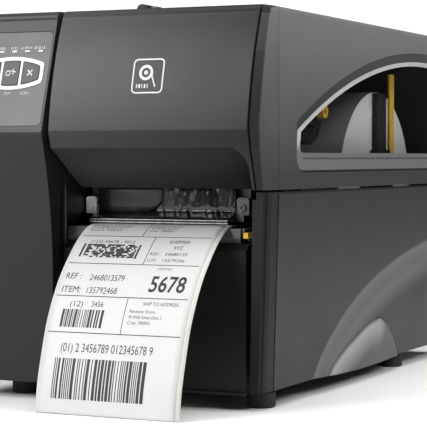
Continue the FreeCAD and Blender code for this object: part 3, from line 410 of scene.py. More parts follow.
# ---- Print head, toggles and lever ------------------------------------------------
# The head hangs in a bent steel carrier: a finned alloy block over a glazed ceramic
# board. Two black toggles press it down, and a gold lever lets it up.
extruded_alloy = surface("extruded_alloy", (0.5, 0.51, 0.52), 0.38, grain=500, height=0.00004,
                         stretch=(1, 8, 1), metal=1.0)
glazed_board = surface("glazed_board", (0.05, 0.035, 0.03), 0.2, grain=800, height=0.00002,
                       coat=0.6)
# The side brackets are painted near-white as a painted reflection of their steel, and darker
# towards the right as painted shade.
bracket_reflection_and_shade = surface("bracket_reflection_and_shade", (0.94, 0.94, 0.93), 0.3, grain=600, height=0.00004,
                         edge_wear_and_highlight=0.3, wear_and_highlight_gain=1.2, painted_shade=(((0, 0.06, 0.03, 0.12),),))
toggle_nylon = surface("toggle_nylon", (0.022, 0.022, 0.023), 0.4, grain=1500, height=0.00006,
                       edge_wear_and_highlight=0.15)
dress(plated_sheet, "printhead_bracket")
dress(extruded_alloy, "printhead_heatsink")
dress(glazed_board, "printhead_board")
dress(bracket_reflection_and_shade, "head_side_brackets")
dress(toggle_nylon, "pressure_toggle_left", "pressure_toggle_right")
dress(gold_plastic, "head_lever")

# ---- Ribbon -------------------------------------------------------------------------
# Wax ribbon is a thin glossy black film. It leaves the supply roll, passes under the
# head, creases as it climbs the head's front and winds on the take-up roll.
FILM_LEFT = -27.5
FILM_RIGHT = 81.5
FILM_PATH = [(136.0, 125.2), (100.0, 122.85), (60.0, 122.85), (44.2, 122.85), (42.4, 124.2),
             (43.8, 127.2), (55.2, 130.8), (56.1, 136.0), (56.8, 149.2)]
FILM_COLUMNS = 130
FRONT_FOOT = 128.0      # the film is slack above this height, and taut below it
LEADER_EDGE = 23.6


def film_tree(name, mat):
    """A grid laid on the head front, pushed in and out by a ridged pattern."""
    tree, get = start_tree(name, Crease_depth="Float", Crease_pitch="Float")
    spot = tree.nodes.new("GeometryNodeInputPosition")
    lean = add(tree, "ShaderNodeVectorMath", operation="MULTIPLY")
    lean.inputs[1].default_value = (1.0, 0.6, 0.22)
    folds = tree.nodes.new("ShaderNodeTexNoise")
    folds.inputs["Detail"].default_value = 3.0
    folds.inputs["Distortion"].default_value = 0.6
    centre = add(tree, "ShaderNodeMath", operation="SUBTRACT")
    centre.inputs[1].default_value = 0.5
    slack = read_from_points(tree, "slack", "FLOAT")
    push = tree.nodes.new("ShaderNodeCombineXYZ")
    move = tree.nodes.new("GeometryNodeSetPosition")
    link = tree.links.new
    link(spot.outputs[0], lean.inputs[0])
    link(lean.outputs[0], folds.inputs["Vector"])
    link(get.outputs["Crease pitch"], folds.inputs["Scale"])
    link(folds.outputs[0], centre.inputs[0])
    loose = joined(tree, "MULTIPLY", centre.outputs[0], slack.outputs[0])
    link(joined(tree, "MULTIPLY", loose, get.outputs["Crease depth"]), push.inputs["Y"])
    link(get.outputs["Geometry"], move.inputs["Geometry"])
    link(push.outputs[0], move.inputs["Offset"])
    return end_tree(tree, move.outputs[0], mat)


def smooth_path(points, per=12):
    """Even steps along a smooth line through the points, with the length to each."""
    ends = [Vector(p) for p in points]
    ends = [2 * ends[0] - ends[1]] + ends + [2 * ends[-1] - ends[-2]]
    path = []
    for a, b, c, d in zip(ends, ends[1:], ends[2:], ends[3:]):
        for i in range(per):
            t = i / per
            path.append(0.5 * ((2 * b) + (c - a) * t + (2 * a - 5 * b + 4 * c - d) * t * t
                               + (3 * b - 3 * c + d - a) * t ** 3))
    path.append(ends[-2])
    run = [0.0]
    for a, b in zip(path, path[1:]):
        run.append(run[-1] + (b - a).length)
    return path, run


def strip_mesh(name, rows):
    """A grid mesh from rows of row-frame points."""
    wide = len(rows[0])
    verts = [tuple(p) for row in rows for p in row]
    faces = [(r * wide + c, r * wide + c + 1, (r + 1) * wide + c + 1, (r + 1) * wide + c)
             for r in range(len(rows) - 1) for c in range(wide - 1)]
    mesh = bpy.data.meshes.new(name)
    mesh.from_pydata(verts, [], faces)
    mesh.polygons.foreach_set("use_smooth", [True] * len(mesh.polygons))
    return mesh


def wax_film():
    mat, tree, shader = start_finish("wax_film", (0.006, 0.006, 0.007), 0.18, specular=0.75)
    where = place_on(tree, (1.0, 0.4, 0.2))
    ripple = node(tree, "ShaderNodeTexNoise", Scale=120.0, Detail=4.0)
    tree.links.new(where, ripple.inputs["Vector"])
    bump = node(tree, "ShaderNodeBump", Strength=0.5, Distance=0.0012)
    tree.links.new(ripple.outputs["Fac"], bump.inputs["Height"])
    tree.links.new(bump.outputs["Normal"], shader.inputs["Normal"])
    tree.links.new(spread(tree, ripple.outputs["Fac"], 0.12, 0.3), shader.inputs["Roughness"])
    tree.links.new(two_tones(tree, ripple.outputs["Fac"], (0.004, 0.004, 0.005),
                             (0.014, 0.014, 0.016)), shader.inputs["Base Color"])
    return mat


wax_black = wax_film()
film_line = smooth_path(FILM_PATH, per=8)[0]
across = [FILM_LEFT + (FILM_RIGHT - FILM_LEFT) * k / FILM_COLUMNS
          for k in range(FILM_COLUMNS + 1)]
film_rows = [[at(x, p[0], p[1]) for x in across] for p in film_line]
film_base = strip_mesh("film", film_rows)
slack = film_base.attributes.new("slack", "FLOAT", "POINT")
for i, p in enumerate(film_line):
    for k in range(len(across)):
        loose = p[1] > FRONT_FOOT and across[k] > LEADER_EDGE
        slack.data[i * len(across) + k].value = 1.0 if loose else 0.0
film = bake_nodes("ribbon_film_creased", film_base, film_tree("film_creases", wax_black),
                  {"Crease depth": 0.0042, "Crease pitch": 150.0}, "printhead")
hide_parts("ribbon_film")
dress(wax_black, "ribbon_runs", "ribbon_supply_roll", "ribbon_takeup_roll")
dress(toggle_nylon, "ribbon_supply_spindle", "ribbon_takeup_spindle")
dress(gold_plastic, "spindle_cap")

# The grey film leader still covers the left part of the creased ribbon. It is a stiffer
# satin sheet with one big rounded corner, laid over the film and held by it.
LEADER_FOOT = 131.0
LEADER = [(FILM_LEFT, LEADER_FOOT), (14.0, LEADER_FOOT), (19.5, 133.0), (22.6, 136.5),
          (LEADER_EDGE, 140.5), (LEADER_EDGE, 150.8), (FILM_LEFT, 150.8)]
LEADER_Y = 54.7         # how far back its foot is
LEADER_LEAN = 0.8       # how much further back it is from 4 mm up
leader_grey = surface("leader_grey", (0.018, 0.018, 0.019), 0.35, grain=160, height=0.0006,
                      tone=0.2)
bm = bmesh.new()
bm.faces.new([bm.verts.new(at(x, LEADER_Y + LEADER_LEAN * min(1.0, (z - LEADER_FOOT) / 4), z))
              for x, z in LEADER])
bmesh.ops.triangulate(bm, faces=bm.faces)
bmesh.ops.subdivide_edges(bm, edges=bm.edges, cuts=3, use_grid_fill=True)
for v in bm.verts:
    v.co.y += 0.0002 * math.sin(v.co.x * 190 + v.co.z * 420) * math.cos(v.co.x * 90)
bmesh.ops.solidify(bm, geom=bm.faces[:], thickness=0.0003)
bmesh.ops.recalc_face_normals(bm, faces=bm.faces)
leader_mesh = as_mesh(bm, "leader")
leader_mesh.polygons.foreach_set("use_smooth", [True] * len(leader_mesh.polygons))
keep("ribbon_leader", leader_mesh, leader_grey, "printhead")

# ---- Media roll and its hanger ---------------------------------------------------------
# The roll is white label stock on a card core, with the edges of its turns on the side.
# It hangs on a black beam, with a sliding blade and a gold post against its side.
ROLL_Y = 333.0
ROLL_Z = 136.0


def wound_paper(name, colour, rough, pitch, dark, painted_shade=()):
    """Side faces show the turns as fine rings about the roll's own axis."""
    mat, tree, shader = start_finish(name, colour, rough)
    where = tree.nodes.new("ShaderNodeTexCoord")
    centre = node(tree, "ShaderNodeMapping", Location=tuple(-c for c in at(0, ROLL_Y, ROLL_Z)))
    flat = node(tree, "ShaderNodeMapping", Scale=(0.0, 1.0, 1.0))
    wave = node(tree, "ShaderNodeTexWave", Scale=pitch, Distortion=0.6, Detail=2.0)
    wave.wave_type = "RINGS"
    wave.rings_direction = "SPHERICAL"
    speck = node(tree, "ShaderNodeTexNoise", Scale=90.0, Detail=3.0)
    tree.links.new(where.outputs["Object"], centre.inputs["Vector"])
    tree.links.new(centre.outputs["Vector"], flat.inputs["Vector"])
    tree.links.new(flat.outputs["Vector"], wave.inputs["Vector"])
    tree.links.new(flat.outputs["Vector"], speck.inputs["Vector"])
    rings = joined(tree, "MULTIPLY", wave.outputs["Fac"], speck.outputs["Fac"])
    tint = two_tones(tree, rings, dark, colour)
    # Painted shade: the tint is darkened along axes by shade_along.
    if painted_shade:
        tint = shade_along(tree, tint, painted_shade)
    tree.links.new(tint, shader.inputs["Base Color"])
    bump = node(tree, "ShaderNodeBump", Strength=0.3, Distance=0.0002)
    tree.links.new(wave.outputs["Fac"], bump.inputs["Height"])
    tree.links.new(bump.outputs["Normal"], shader.inputs["Normal"])
    tree.links.new(spread(tree, speck.outputs["Fac"], rough - 0.05, rough + 0.05),
                   shader.inputs["Roughness"])
    return mat


# ROLL_SIDE marks where the painted shade starts: the roll's curved outer wrap is painted darker
# than its flat side.
ROLL_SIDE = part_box("media_roll")[1][0]
dress(wound_paper("roll_paper", (0.93, 0.93, 0.92), 0.6, 90.0, (0.80, 0.80, 0.785),
                  (((0, ROLL_SIDE - 0.0006, ROLL_SIDE - 0.0002, 0.42),),)), "media_roll")
dress(wound_paper("roll_core_card", (0.42, 0.30, 0.18), 0.8, 120.0, (0.30, 0.21, 0.12)),
      "roll_core")
dress(wall_plastic, "media_hanger", "supply_guide")
dress(gold_plastic, "guide_post")

# ---- Label stock and the printed label ---------------------------------------------------
# Die-cut shipping labels ride on a glassine liner, from the roll past the head and down
# over the tear bar. The last one hangs out, printed in black by the head's heat.
LINER = (-23.5, 87.0)
LABEL = (-22.3, 83.6)
LABEL_TOP = 22.0
LABEL_CORNER = 2.2
FEED = [(267.0, 74.0), (232.0, 66.0), (190.0, 80.0), (150.0, 108.0), (100.0, 122.1)]
HANG = [(60.0, 122.1), (37.0, 122.1), (22.5, 116.3), (6.5, 104.0), (-12.0, 84.3), (-27.0, 60.0),
        (-36.5, 35.0), (-42.5, 15.0), (-45.8, -3.6)]
SKEW = 1.5              # how far the left side hangs behind the right at the floor
hang_line, hang_run = smooth_path(HANG, per=24)
HANG_END = hang_run[-1]


def on_label(x, s, lift=0.0):
    """Point s mm down the hanging label, x across, lifted off its face."""
    s = max(0.0, min(s, HANG_END))
    k = 1
    while k < len(hang_run) - 1 and hang_run[k] < s:
        k += 1
    a, b = hang_line[k - 1], hang_line[k]
    t = (s - hang_run[k - 1]) / max(hang_run[k] - hang_run[k - 1], 1e-9)
    p = a.lerp(b, t)
    way = (b - a).normalized()
    down = max(0.0, (s - 40.0) / (HANG_END - 40.0))
    back = SKEW * down * down * (LINER[1] - x) / (LINER[1] - LINER[0])
    return at(x, p[0] + back + way[1] * lift, p[1] - way[0] * lift)


def paper(name, colour, rough, gloss):
    mat, tree, shader = start_finish(name, colour, rough, specular=gloss)
    where = place_on(tree)
    fibre = node(tree, "ShaderNodeTexNoise", Scale=700.0, Detail=4.0)
    cloud = node(tree, "ShaderNodeTexNoise", Scale=30.0, Detail=2.0)
    tree.links.new(where, fibre.inputs["Vector"])
    tree.links.new(where, cloud.inputs["Vector"])
    bump = node(tree, "ShaderNodeBump", Strength=0.25, Distance=0.00005)
    tree.links.new(fibre.outputs["Fac"], bump.inputs["Height"])
    tree.links.new(bump.outputs["Normal"], shader.inputs["Normal"])
    tree.links.new(two_tones(tree, cloud.outputs["Fac"], tuple(c * 0.97 for c in colour),
                             colour), shader.inputs["Base Color"])
    tree.links.new(spread(tree, fibre.outputs["Fac"], rough - 0.04, rough + 0.04),
                   shader.inputs["Roughness"])
    return mat


def sheet_solid(name, rows, mat, thick, replaces=None):
    """A thin closed sheet from rows of points on its outer face."""
    mesh = strip_mesh(name, rows)
    bm = bmesh.new()
    bm.from_mesh(mesh)
    bmesh.ops.recalc_face_normals(bm, faces=bm.faces)
    if sum(f.normal.z for f in bm.faces) < 0:
        bmesh.ops.reverse_faces(bm, faces=bm.faces)
    bmesh.ops.solidify(bm, geom=bm.faces[:], thickness=thick)
    bm.to_mesh(mesh)
    bm.free()
    piece = keep(name, mesh, mat, "chassis")
    if replaces:
        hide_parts(replaces)
    return piece


liner_glassine = paper("liner_glassine", (0.72, 0.71, 0.66), 0.42, 0.5)
label_face = paper("label_face", (0.68, 0.68, 0.675), 0.5, 0.4)
feed_line = smooth_path(FEED + [(80.0, 122.1), (60.0, 122.1)], per=10)[0]
columns = [LINER[0] + (LINER[1] - LINER[0]) * k / 24 for k in range(25)]
liner_rows = [[at(x, p[0], p[1]) for x in columns] for p in feed_line[:-1]]
liner_rows += [[on_label(x, HANG_END * k / 90) for x in columns] for k in range(91)]
sheet_solid("label_liner", liner_rows, liner_glassine, 0.00012, "label_web")


def label_rows(first, last, lift):
    """Rows of one label from s = first, with rounded corners, to its square end at s = last."""
    rows = []
    steps = 64
    for k in range(steps + 1):
        s = first + (last - first) * k / steps
        above = LABEL_CORNER - min(s - first, LABEL_CORNER)
        tuck = LABEL_CORNER - math.sqrt(max(0.0, LABEL_CORNER ** 2 - above ** 2))
        left, right = LABEL[0] + tuck, LABEL[1] - tuck
        rows.append([on_label(left + (right - left) * c / 20, s, lift) for c in range(21)])
    return rows


sheet_solid("shipping_label", label_rows(LABEL_TOP, HANG_END, 0.16), label_face, 0.0001)

# The print is a thin layer of black: rules, two bar codes, a block code and plain wording.
# The head burns it in as the label passes, so it bends with the paper.
PRINT_LIFT = 0.22
CAP_SHARE = 0.73        # height of a capital in a letter of size 1
print_verts = []
print_faces = []


def ink(x0, s0, x1, s1):
    """One printed patch, bent to the label in short steps."""
    steps = max(1, int(abs(s1 - s0) / 3.0))
    wide = max(1, int(abs(x1 - x0) / 12.0))
    first = len(print_verts)
    for k in range(steps + 1):
        s = s0 + (s1 - s0) * k / steps
        for c in range(wide + 1):
            print_verts.append(tuple(on_label(x0 + (x1 - x0) * c / wide, s, PRINT_LIFT)))
    row = wide + 1
    for k in range(steps):
        for c in range(wide):
            a = first + k * row + c
            print_faces.append((a, a + row, a + row + 1, a + 1))


def bars(x0, x1, s0, s1, seed, thin):
    """Upright bars of one to three units with gaps of one or two."""
    pick = random.Random(seed)
    x = x0
    while x < x1 - thin:
        w = thin * pick.choice((1, 1, 2, 3))
        ink(x, s0, min(x + w, x1), s1)
        x += w + thin * pick.choice((1, 1, 2))
    ink(x1 - 2 * thin, s0, x1, s1)


def letters(text, steps, weight=0.0):
    """Flat lettering of size 1 as points and faces, cut across so that it can bend."""
    curve = bpy.data.curves.new("letters", "FONT")
    curve.body = text
    curve.offset = weight
    curve.resolution_u = 3
    holder = show("letters", curve)
    mesh = bpy.data.meshes.new_from_object(
        holder.evaluated_get(bpy.context.evaluated_depsgraph_get()))
    bpy.data.objects.remove(holder)
    bm = bmesh.new()
    bm.from_mesh(mesh)
    for k in range(1, steps):
        bmesh.ops.bisect_plane(bm, geom=bm.verts[:] + bm.edges[:] + bm.faces[:],
                               plane_co=(0, CAP_SHARE * k / steps, 0), plane_no=(0, 1, 0))
    bm.to_mesh(mesh)
    bm.free()
    spots = [(v.co.x, v.co.y) for v in mesh.vertices]
    return spots, [tuple(p.vertices) for p in mesh.polygons]


def words(text, x0, x1, foot, tall, weight=0.0):
    """Wording from x0 to x1 on the label, standing on s = foot."""
    spots, faces = letters(text, max(2, int(tall / 1.5)), weight)
    left = min(p[0] for p in spots)
    scale = (x1 - x0) / (max(p[0] for p in spots) - left)
    first = len(print_verts)
    for a, b in spots:
        print_verts.append(tuple(on_label(x0 + (a - left) * scale, foot - b * tall / CAP_SHARE,
                                          PRINT_LIFT)))
    print_faces.extend(tuple(first + k for k in face) for face in faces)


for s in (42.4, 70.2, 97.8, 124.9):
    ink(-21.0, s - 0.3, 80.4, s + 0.3)
ink(26.0, 23.0, 26.5, 42.4)
ink(37.3, 42.6, 37.8, 70.2)
ink(35.0, 98.0, 35.5, 124.9)
for row, (one, two) in enumerate((("Sender Works", "Receiver Store"),
                                  ("12 Long Road, Unit 3", "45 Wide Street"),
                                  ("Town 34567", "City 78901"))):
    words(one, -19.0, 13.0 - row * 3, 28.6 + row * 3.6, 2.2)
    words(two, 28.6, 52.0 - row * 2, 28.6 + row * 3.6, 2.2)
words("(123) 45678 - 9012", -11.4, 23.5, 50.0, 3.1)
ink(-15.6, 51.0, -14.1, 64.0)
ink(28.4, 51.4, 29.9, 65.0)
CELL_X = 1.33
CELL_S = 1.46
cell = random.Random(7)
for row in range(9):
    for col in range(30):
        if cell.random() < 0.55:
            x, s = -12.4 + col * CELL_X, 51.4 + row * CELL_S
            ink(x, s, x + CELL_X * cell.choice((1, 1, 2)), s + 1.3)
words("SHIPPER:", 50.0, 66.4, 49.2, 3.4)
words("XYZ", 55.4, 62.6, 55.2, 3.4)
for row, (one, two) in enumerate((("REF:", "24680135"), ("LOT:", "13579246"))):
    words(one, 39.4, 46.6, 61.2 + row * 5.9, 2.8)
    words(two, 51.0, 68.0, 61.2 + row * 5.9, 2.8)
words("STOP NO", 50.6, 61.0, 74.6, 2.1)
words("5678", 48.6, 75.6, 92.6, 13.2, 0.016)
words("REF :", -18.3, -6.2, 84.0, 5.2)
words("2468013579", 0.9, 27.6, 85.0, 5.2)
words("ITEM:", -18.0, -3.6, 95.0, 5.2)
words("135792468", 1.6, 25.0, 95.4, 5.2)
words("(12)", -8.4, 1.8, 105.8, 4.4)
words("3456", 8.4, 17.6, 105.8, 4.4)
bars(-12.8, 19.6, 108.0, 121.2, 61, 0.62)
words("SHIP TO ADDRESS", 47.8, 74.4, 103.2, 2.6)
for row, text in enumerate(("Receiver Store", "45 Wide Street, Door 2", "City 78901")):
    words(text, 39.0, 58.0 + (7 if row == 1 else 0) - row, 109.0 + row * 4.2, 2.5)
words("(01) 2 3456789 012345678 9", -8.7, 61.8, 138.4, 6.4)
bars(-11.8, 58.8, 143.0, 171.0, 62, 0.74)
ink_mesh = bpy.data.meshes.new("label_print")
ink_mesh.from_pydata(print_verts, [], print_faces)
print_black = surface("print_black", (0.022, 0.022, 0.023), 0.55, grain=2600, height=0.00002,
                      tone=0.3)
keep("label_print", ink_mesh, print_black, "chassis")

# ---- Lower front cover ---------------------------------------------------------------------
# A plain charcoal moulding fills the front below the exit, with a lip along the floor.
# The moulding is painted darker towards the floor: painted shade.
lower_charcoal = surface("lower_charcoal", (0.032, 0.0325, 0.034), 0.40, grain=1900,
                         height=0.00009, edge_wear_and_highlight=0.12, specular=0.15,
                         painted_shade=(((2, 0.060, 0.012, 0.31),),))
dress(lower_charcoal, "front_cover")

# ---- Control side: bezel, overlay, keys and lamps -------------------------------------------
# The left front is one charcoal moulding. A printed film covers its slope, with three soft
# keys in a white barrel frame, a row of lamp lenses and small white pictures.
TILT = math.radians(16.8)
SLOPE_FOOT = 188.0


def on_slope(x, v, w):
    """A point on the sloped panel: across, up the slope and out, in mm."""
    y = v * math.sin(TILT) - w * math.cos(TILT)
    z = SLOPE_FOOT + v * math.cos(TILT) + w * math.sin(TILT)
    return at(x, y, z)


def flat_marks(name, outlines, place, mat, body, thick=0.12, off=0.02):
    """Thin raised print from closed outlines given in (across, up) mm."""
    bm = bmesh.new()
    for outline in outlines:
        low = [bm.verts.new(place(a, b, off)) for a, b in outline]
        high = [bm.verts.new(place(a, b, off + thick)) for a, b in outline]
        bm.faces.new(high)
        bm.faces.new(low[::-1])
        for i in range(len(outline)):
            j = (i + 1) % len(outline)
            bm.faces.new((low[i], low[j], high[j], high[i]))
    bmesh.ops.recalc_face_normals(bm, faces=bm.faces)
    return keep(name, as_mesh(bm, name), mat, body)


def stroke(x0, v0, x1, v1, wide):
    """Outline of a straight stroke."""
    way = Vector((x1 - x0, v1 - v0)).normalized() * wide / 2
    side = (-way[1], way[0])
    return [(x0 - side[0], v0 - side[1]), (x1 - side[0], v1 - side[1]),
            (x1 + side[0], v1 + side[1]), (x0 + side[0], v0 + side[1])]


def loop(x, v, r, wide, sides=20):
    """Outlines that make a ring."""
    parts = []
    for k in range(sides):
        a, b = 2 * math.pi * k / sides, 2 * math.pi * (k + 1) / sides
        parts.append([(x + q * math.cos(t), v + q * math.sin(t))
                      for q, t in ((r, a), (r, b), (r - wide, b), (r - wide, a))])
    return parts


# Below the slope's foot the bezel is painted darker: painted shade on the chin.
bezel_charcoal = surface("bezel_charcoal", (0.038, 0.039, 0.041), 0.42, grain=1900, specular=0.3,
                         height=0.00009, edge_wear_and_highlight=0.12, painted_shade=(((2, 0.188, 0.196, 0.45),),))
overlay_film = surface("overlay_film", (0.038, 0.039, 0.040), 0.4, grain=3200, height=0.00003)
frame_white = surface("frame_white", (0.88, 0.88, 0.87), 0.4, grain=1600, height=0.00003,
                      tone=0.02)
key_rubber = surface("key_rubber", (0.055, 0.056, 0.058), 0.5, grain=2400, height=0.00005)
lamp_lens = surface("lamp_lens", (0.16, 0.165, 0.165), 0.2, grain=900, height=0.00002, coat=0.5)
print_white = surface("print_white", (0.82, 0.82, 0.81), 0.5, grain=2600, height=0.00002)
dress(bezel_charcoal, "control_bezel")
dress(overlay_film, "control_overlay")
dress(frame_white, "key_ring")
dress(key_rubber, "pause_key", "feed_key", "cancel_key")
dress(lamp_lens, "status_lights")
KEY_TOP = 1.0
pause_lines = [stroke(x, 41.8, x, 47.2, 1.2) for x in (-94.2, -91.2)]
feed_lines = loop(-78.2, 44.4, 2.1, 0.7)
feed_lines += [stroke(-76.2, 46.3, -71.8, 45.2, 0.75), stroke(-74.0, 43.4, -74.0, 47.6, 0.75)]
cancel_lines = [stroke(-62.0, low, -58.0, high, 0.95) for low, high in ((42.4, 46.6), (46.6, 42.4))]
for key, lines in (("pause", pause_lines), ("feed", feed_lines), ("cancel", cancel_lines)):
    flat_marks(key + "_picture", lines, lambda a, b, w: on_slope(a, b, KEY_TOP + w), print_white,
               key + "_key")
captions = random.Random(5)
small = []
for x0, x1, v in ((-101.5, -94.5, 63.6), (-89.5, -83.0, 63.6), (-79.0, -73.5, 63.6),
                  (-70.5, -61.5, 63.6), (-59.5, -50.0, 63.6), (-96.5, -90.0, 29.3),
                  (-79.2, -73.5, 29.3), (-65.8, -57.5, 29.3)):
    x = x0
    while x < x1 - 0.8:
        form = captions.choice((0, 1, 2))
        small.append(stroke(x, v - 0.95, x, v + 0.95, 0.34))
        if form:
            small.append(stroke(x, v + 0.8, x + 1.0, v + 0.8, 0.3))
        if form == 2:
            small.append(stroke(x, v - 0.8, x + 1.0, v - 0.8, 0.3))
        x += 1.55
flat_marks("overlay_captions", small, on_slope, print_white, "chassis",
           thick=0.05)

# ---- Door front: sloped panel, chin and badge ---------------------------------------------
# The tall front panel of the door is textured charcoal plastic that bows out and turns
# under in a chin. A plain white badge with a roll and a strip is set in a shallow groove.
BADGE_X = (23.8, 48.0)
BADGE_Z = (214.4, 238.8)
ARC = ((268.6, 23.6), (230.0, 10.6), (189.0, 2.9))


def circle_through(a, b, c):
    """Centre and radius of a circle through three points."""
    d = 2 * (a[0] * (b[1] - c[1]) + b[0] * (c[1] - a[1]) + c[0] * (a[1] - b[1]))
    aa, bb, cc = (p[0] ** 2 + p[1] ** 2 for p in (a, b, c))
    u = (aa * (b[1] - c[1]) + bb * (c[1] - a[1]) + cc * (a[1] - b[1])) / d
    v = (aa * (c[0] - b[0]) + bb * (a[0] - c[0]) + cc * (b[0] - a[0])) / d
    return u, v, math.hypot(a[0] - u, a[1] - v)


ARC_Z, ARC_Y, ARC_R = circle_through(*ARC)


def on_door(x, z, out):
    """A point on the bowed door front."""
    side = 1 if ARC[1][1] > ARC_Y else -1
    y = ARC_Y + side * math.sqrt(ARC_R ** 2 - (z - ARC_Z) ** 2)
    return at(x, y - out, z)


def rounded_square(x0, x1, z0, z1, r, per=6):
    """Corner-rounded outline, anticlockwise."""
    dots = []
    for cx, cz, a0 in ((x1 - r, z1 - r, 0), (x0 + r, z1 - r, 90), (x0 + r, z0 + r, 180),
                       (x1 - r, z0 + r, 270)):
        for k in range(per + 1):
            a = math.radians(a0 + 90 * k / per)
            dots.append((cx + r * math.cos(a), cz + r * math.sin(a)))
    return dots


def part_way(a, b, share):
    """The point that lies a share of the way from a to b."""
    return tuple(p + (q - p) * share for p, q in zip(a, b))


def frame_parts(outer, inner):
    """Quads between two outlines, cut short so that they follow a curve."""
    parts = []
    for i in range(len(outer)):
        j = (i + 1) % len(outer)
        steps = max(1, int(math.dist(outer[i], outer[j]) / 2.5))
        for k in range(steps):
            t, u = k / steps, (k + 1) / steps
            parts.append([part_way(outer[i], outer[j], t), part_way(outer[i], outer[j], u),
                          part_way(inner[i], inner[j], u), part_way(inner[i], inner[j], t)])
    return parts


# The panel is painted darker towards its right end and in a band round the chin: painted shade.
door_charcoal = surface("door_charcoal", (0.048, 0.049, 0.051), 0.42, grain=1900,
                        height=0.00009, edge_wear_and_highlight=0.12, specular=0.3,
                        painted_shade=(((0, 0.113, -0.04, 0.18),),
                               ((2, 0.188, 0.196, 0.55), (2, 0.184, 0.166, 0.55)),))
dress(door_charcoal, "door_front_panel")
RING = 1.1
inside = (BADGE_X[0] + RING, BADGE_X[1] - RING, BADGE_Z[0] + RING, BADGE_Z[1] - RING)
ring = frame_parts(rounded_square(*BADGE_X, *BADGE_Z, 3.4), rounded_square(*inside, 2.4))
motif = loop(34.2, 229.0, 5.4, 2.0, 28) + loop(34.2, 229.0, 1.6, 1.6, 16)
motif += [stroke(39.2, 229.6, 39.2, 226.0, 1.0), stroke(39.2, 226.2, 42.0, 219.0, 1.0)]
motif += [stroke(27.8 + k * 2.1, 218.2, 27.8 + k * 2.1, 221.0, w)
          for k, w in enumerate((0.8, 1.4, 0.6, 1.2, 0.7))]
flat_marks("door_badge", ring + motif, on_door, print_white, "upper_door",
           thick=0.1)

# ---- Door corners and upper side -----------------------------------------------------------
# The rounded corner mouldings and the folded upper side are the door's charcoal plastic, painted
# lighter on the upper corner and side as if lit, and near-black on the lower corner as painted
# shade. Painted shade also darkens the bevel beside the front panel, the band round the window, a
# band on the lower corner, and the upper side and corner towards the bottom.
side_charcoal_painted_light_and_shade = surface("side_charcoal_painted_light_and_shade", (0.175, 0.178, 0.184), 0.4, grain=1900, height=0.00009,
                        edge_wear_and_highlight=0.15, specular=0.3,
                        painted_shade=(((0, 0.1199, 0.1204, 0.45), (2, 0.2660, 0.2680, 0.45)),
                               ((2, 0.160, 0.275, 0.18),)))
corner_charcoal_painted_light_and_shade = surface("corner_charcoal_painted_light_and_shade", (0.160, 0.163, 0.168), 0.42, grain=1900,
                          height=0.00009, edge_wear_and_highlight=0.15, specular=0.3,
                          painted_shade=(((0, 0.1182, 0.1191, 0.18),), ((2, 0.160, 0.275, 0.2),)))
strip_charcoal_painted_shade = surface("strip_charcoal_painted_shade", (0.009, 0.0092, 0.0097), 0.46, grain=1900,
                         specular=0.25, height=0.00009, edge_wear_and_highlight=0.15,
                         painted_shade=(((1, -0.1660, -0.1655, 0.25), (1, -0.1698, -0.1703, 0.25)),))
dress(corner_charcoal_painted_light_and_shade, "door_corner_upper")
dress(side_charcoal_painted_light_and_shade, "door_side_upper")
dress(strip_charcoal_painted_shade, "door_corner_lower")
dress(toggle_nylon, "roof_hinge", "fold_hinge")

# ---- Lower door leaf -----------------------------------------------------------------------
# The lower leaf is one smooth moulding that leans in towards the floor. A swept arch swells
# out of it, with a long leaf-shaped swelling at its foot, and half of the fold's knuckles.
LEAF_Y = (41.5, 427.8)
LEAF_Z = (8.2, 146.4)
LEAF_X = (117.0, 121.0)         # outer face at the foot and at the fold
LEAF_T = 2.6
LEAF_LIMIT = 120.95
ARCH = [(117.0, 8.0), (129.0, 20.5), (147.0, 33.5), (176.0, 49.5), (211.5, 64.0), (252.0, 76.3),
        (306.5, 88.0), (365.0, 96.8), (430.0, 103.2)]
ARCH_RISE = 3.1
ARCH_FALL = 1.8                 # how much lower the arch is behind its ridge
ARCH_BLEND = 15.0               # how far in from its edge the arch keeps rising
SWELL_FRONT = [(138.0, 7.0), (154.0, 17.0), (175.0, 25.0), (196.0, 31.0), (212.0, 36.0),
               (228.0, 40.0), (246.0, 42.0)]
SWELL_REAR = [(246.0, 42.0), (260.0, 40.0), (271.0, 34.5), (281.0, 26.0), (289.0, 17.0),
              (296.0, 5.0)]
SWELL_REACH = (130.0, 304.0, 46.0)      # nothing of the swelling or its groove is beyond this
SWELL_RISE = 2.0
SWELL_LIP = 0.4                 # step at the rear edge of the swelling
GROOVE = 0.9
PAINTED_HIGHLIGHT_RIDGE = 0.38               # share of the painted highlight on the ridge of the arch
PAINTED_HIGHLIGHT_WIDTH = 30.0
PAINTED_HIGHLIGHT_EDGE = 2.5
FOOT_DIP = 2.0                  # the leaf hangs lower under the swelling
FOLD_AXIS = (115.4, 143.0)      # X and Z of the pin
KNUCKLE_LONG = 12.0
KNUCKLE_RADII = (2.6, 1.36)     # outside and bore
KNUCKLE_SIDES = 24
LEAF_GRID = (270, 92)
KNUCKLE_STARTS = [start + step for start in (60.0, 218.0, 376.0) for step in (0.0, 24.8)]


def gap_to(line, y, z):
    """Distance from a point to a chain of short straight runs."""
    best = 1e9
    for a, b in zip(line, line[1:]):
        dy, dz = b[0] - a[0], b[1] - a[1]
        t = max(0.0, min(1.0, ((y - a[0]) * dy + (z - a[1]) * dz) / (dy * dy + dz * dz)))
        best = min(best, math.hypot(y - a[0] - t * dy, z - a[1] - t * dz))
    return best


def height_of(line, y):
    """Height of a chain at y, or nothing outside it."""
    for a, b in zip(line, line[1:]):
        if a[0] <= y <= b[0]:
            return a[1] + (b[1] - a[1]) * (y - a[0]) / (b[0] - a[0])
    return None


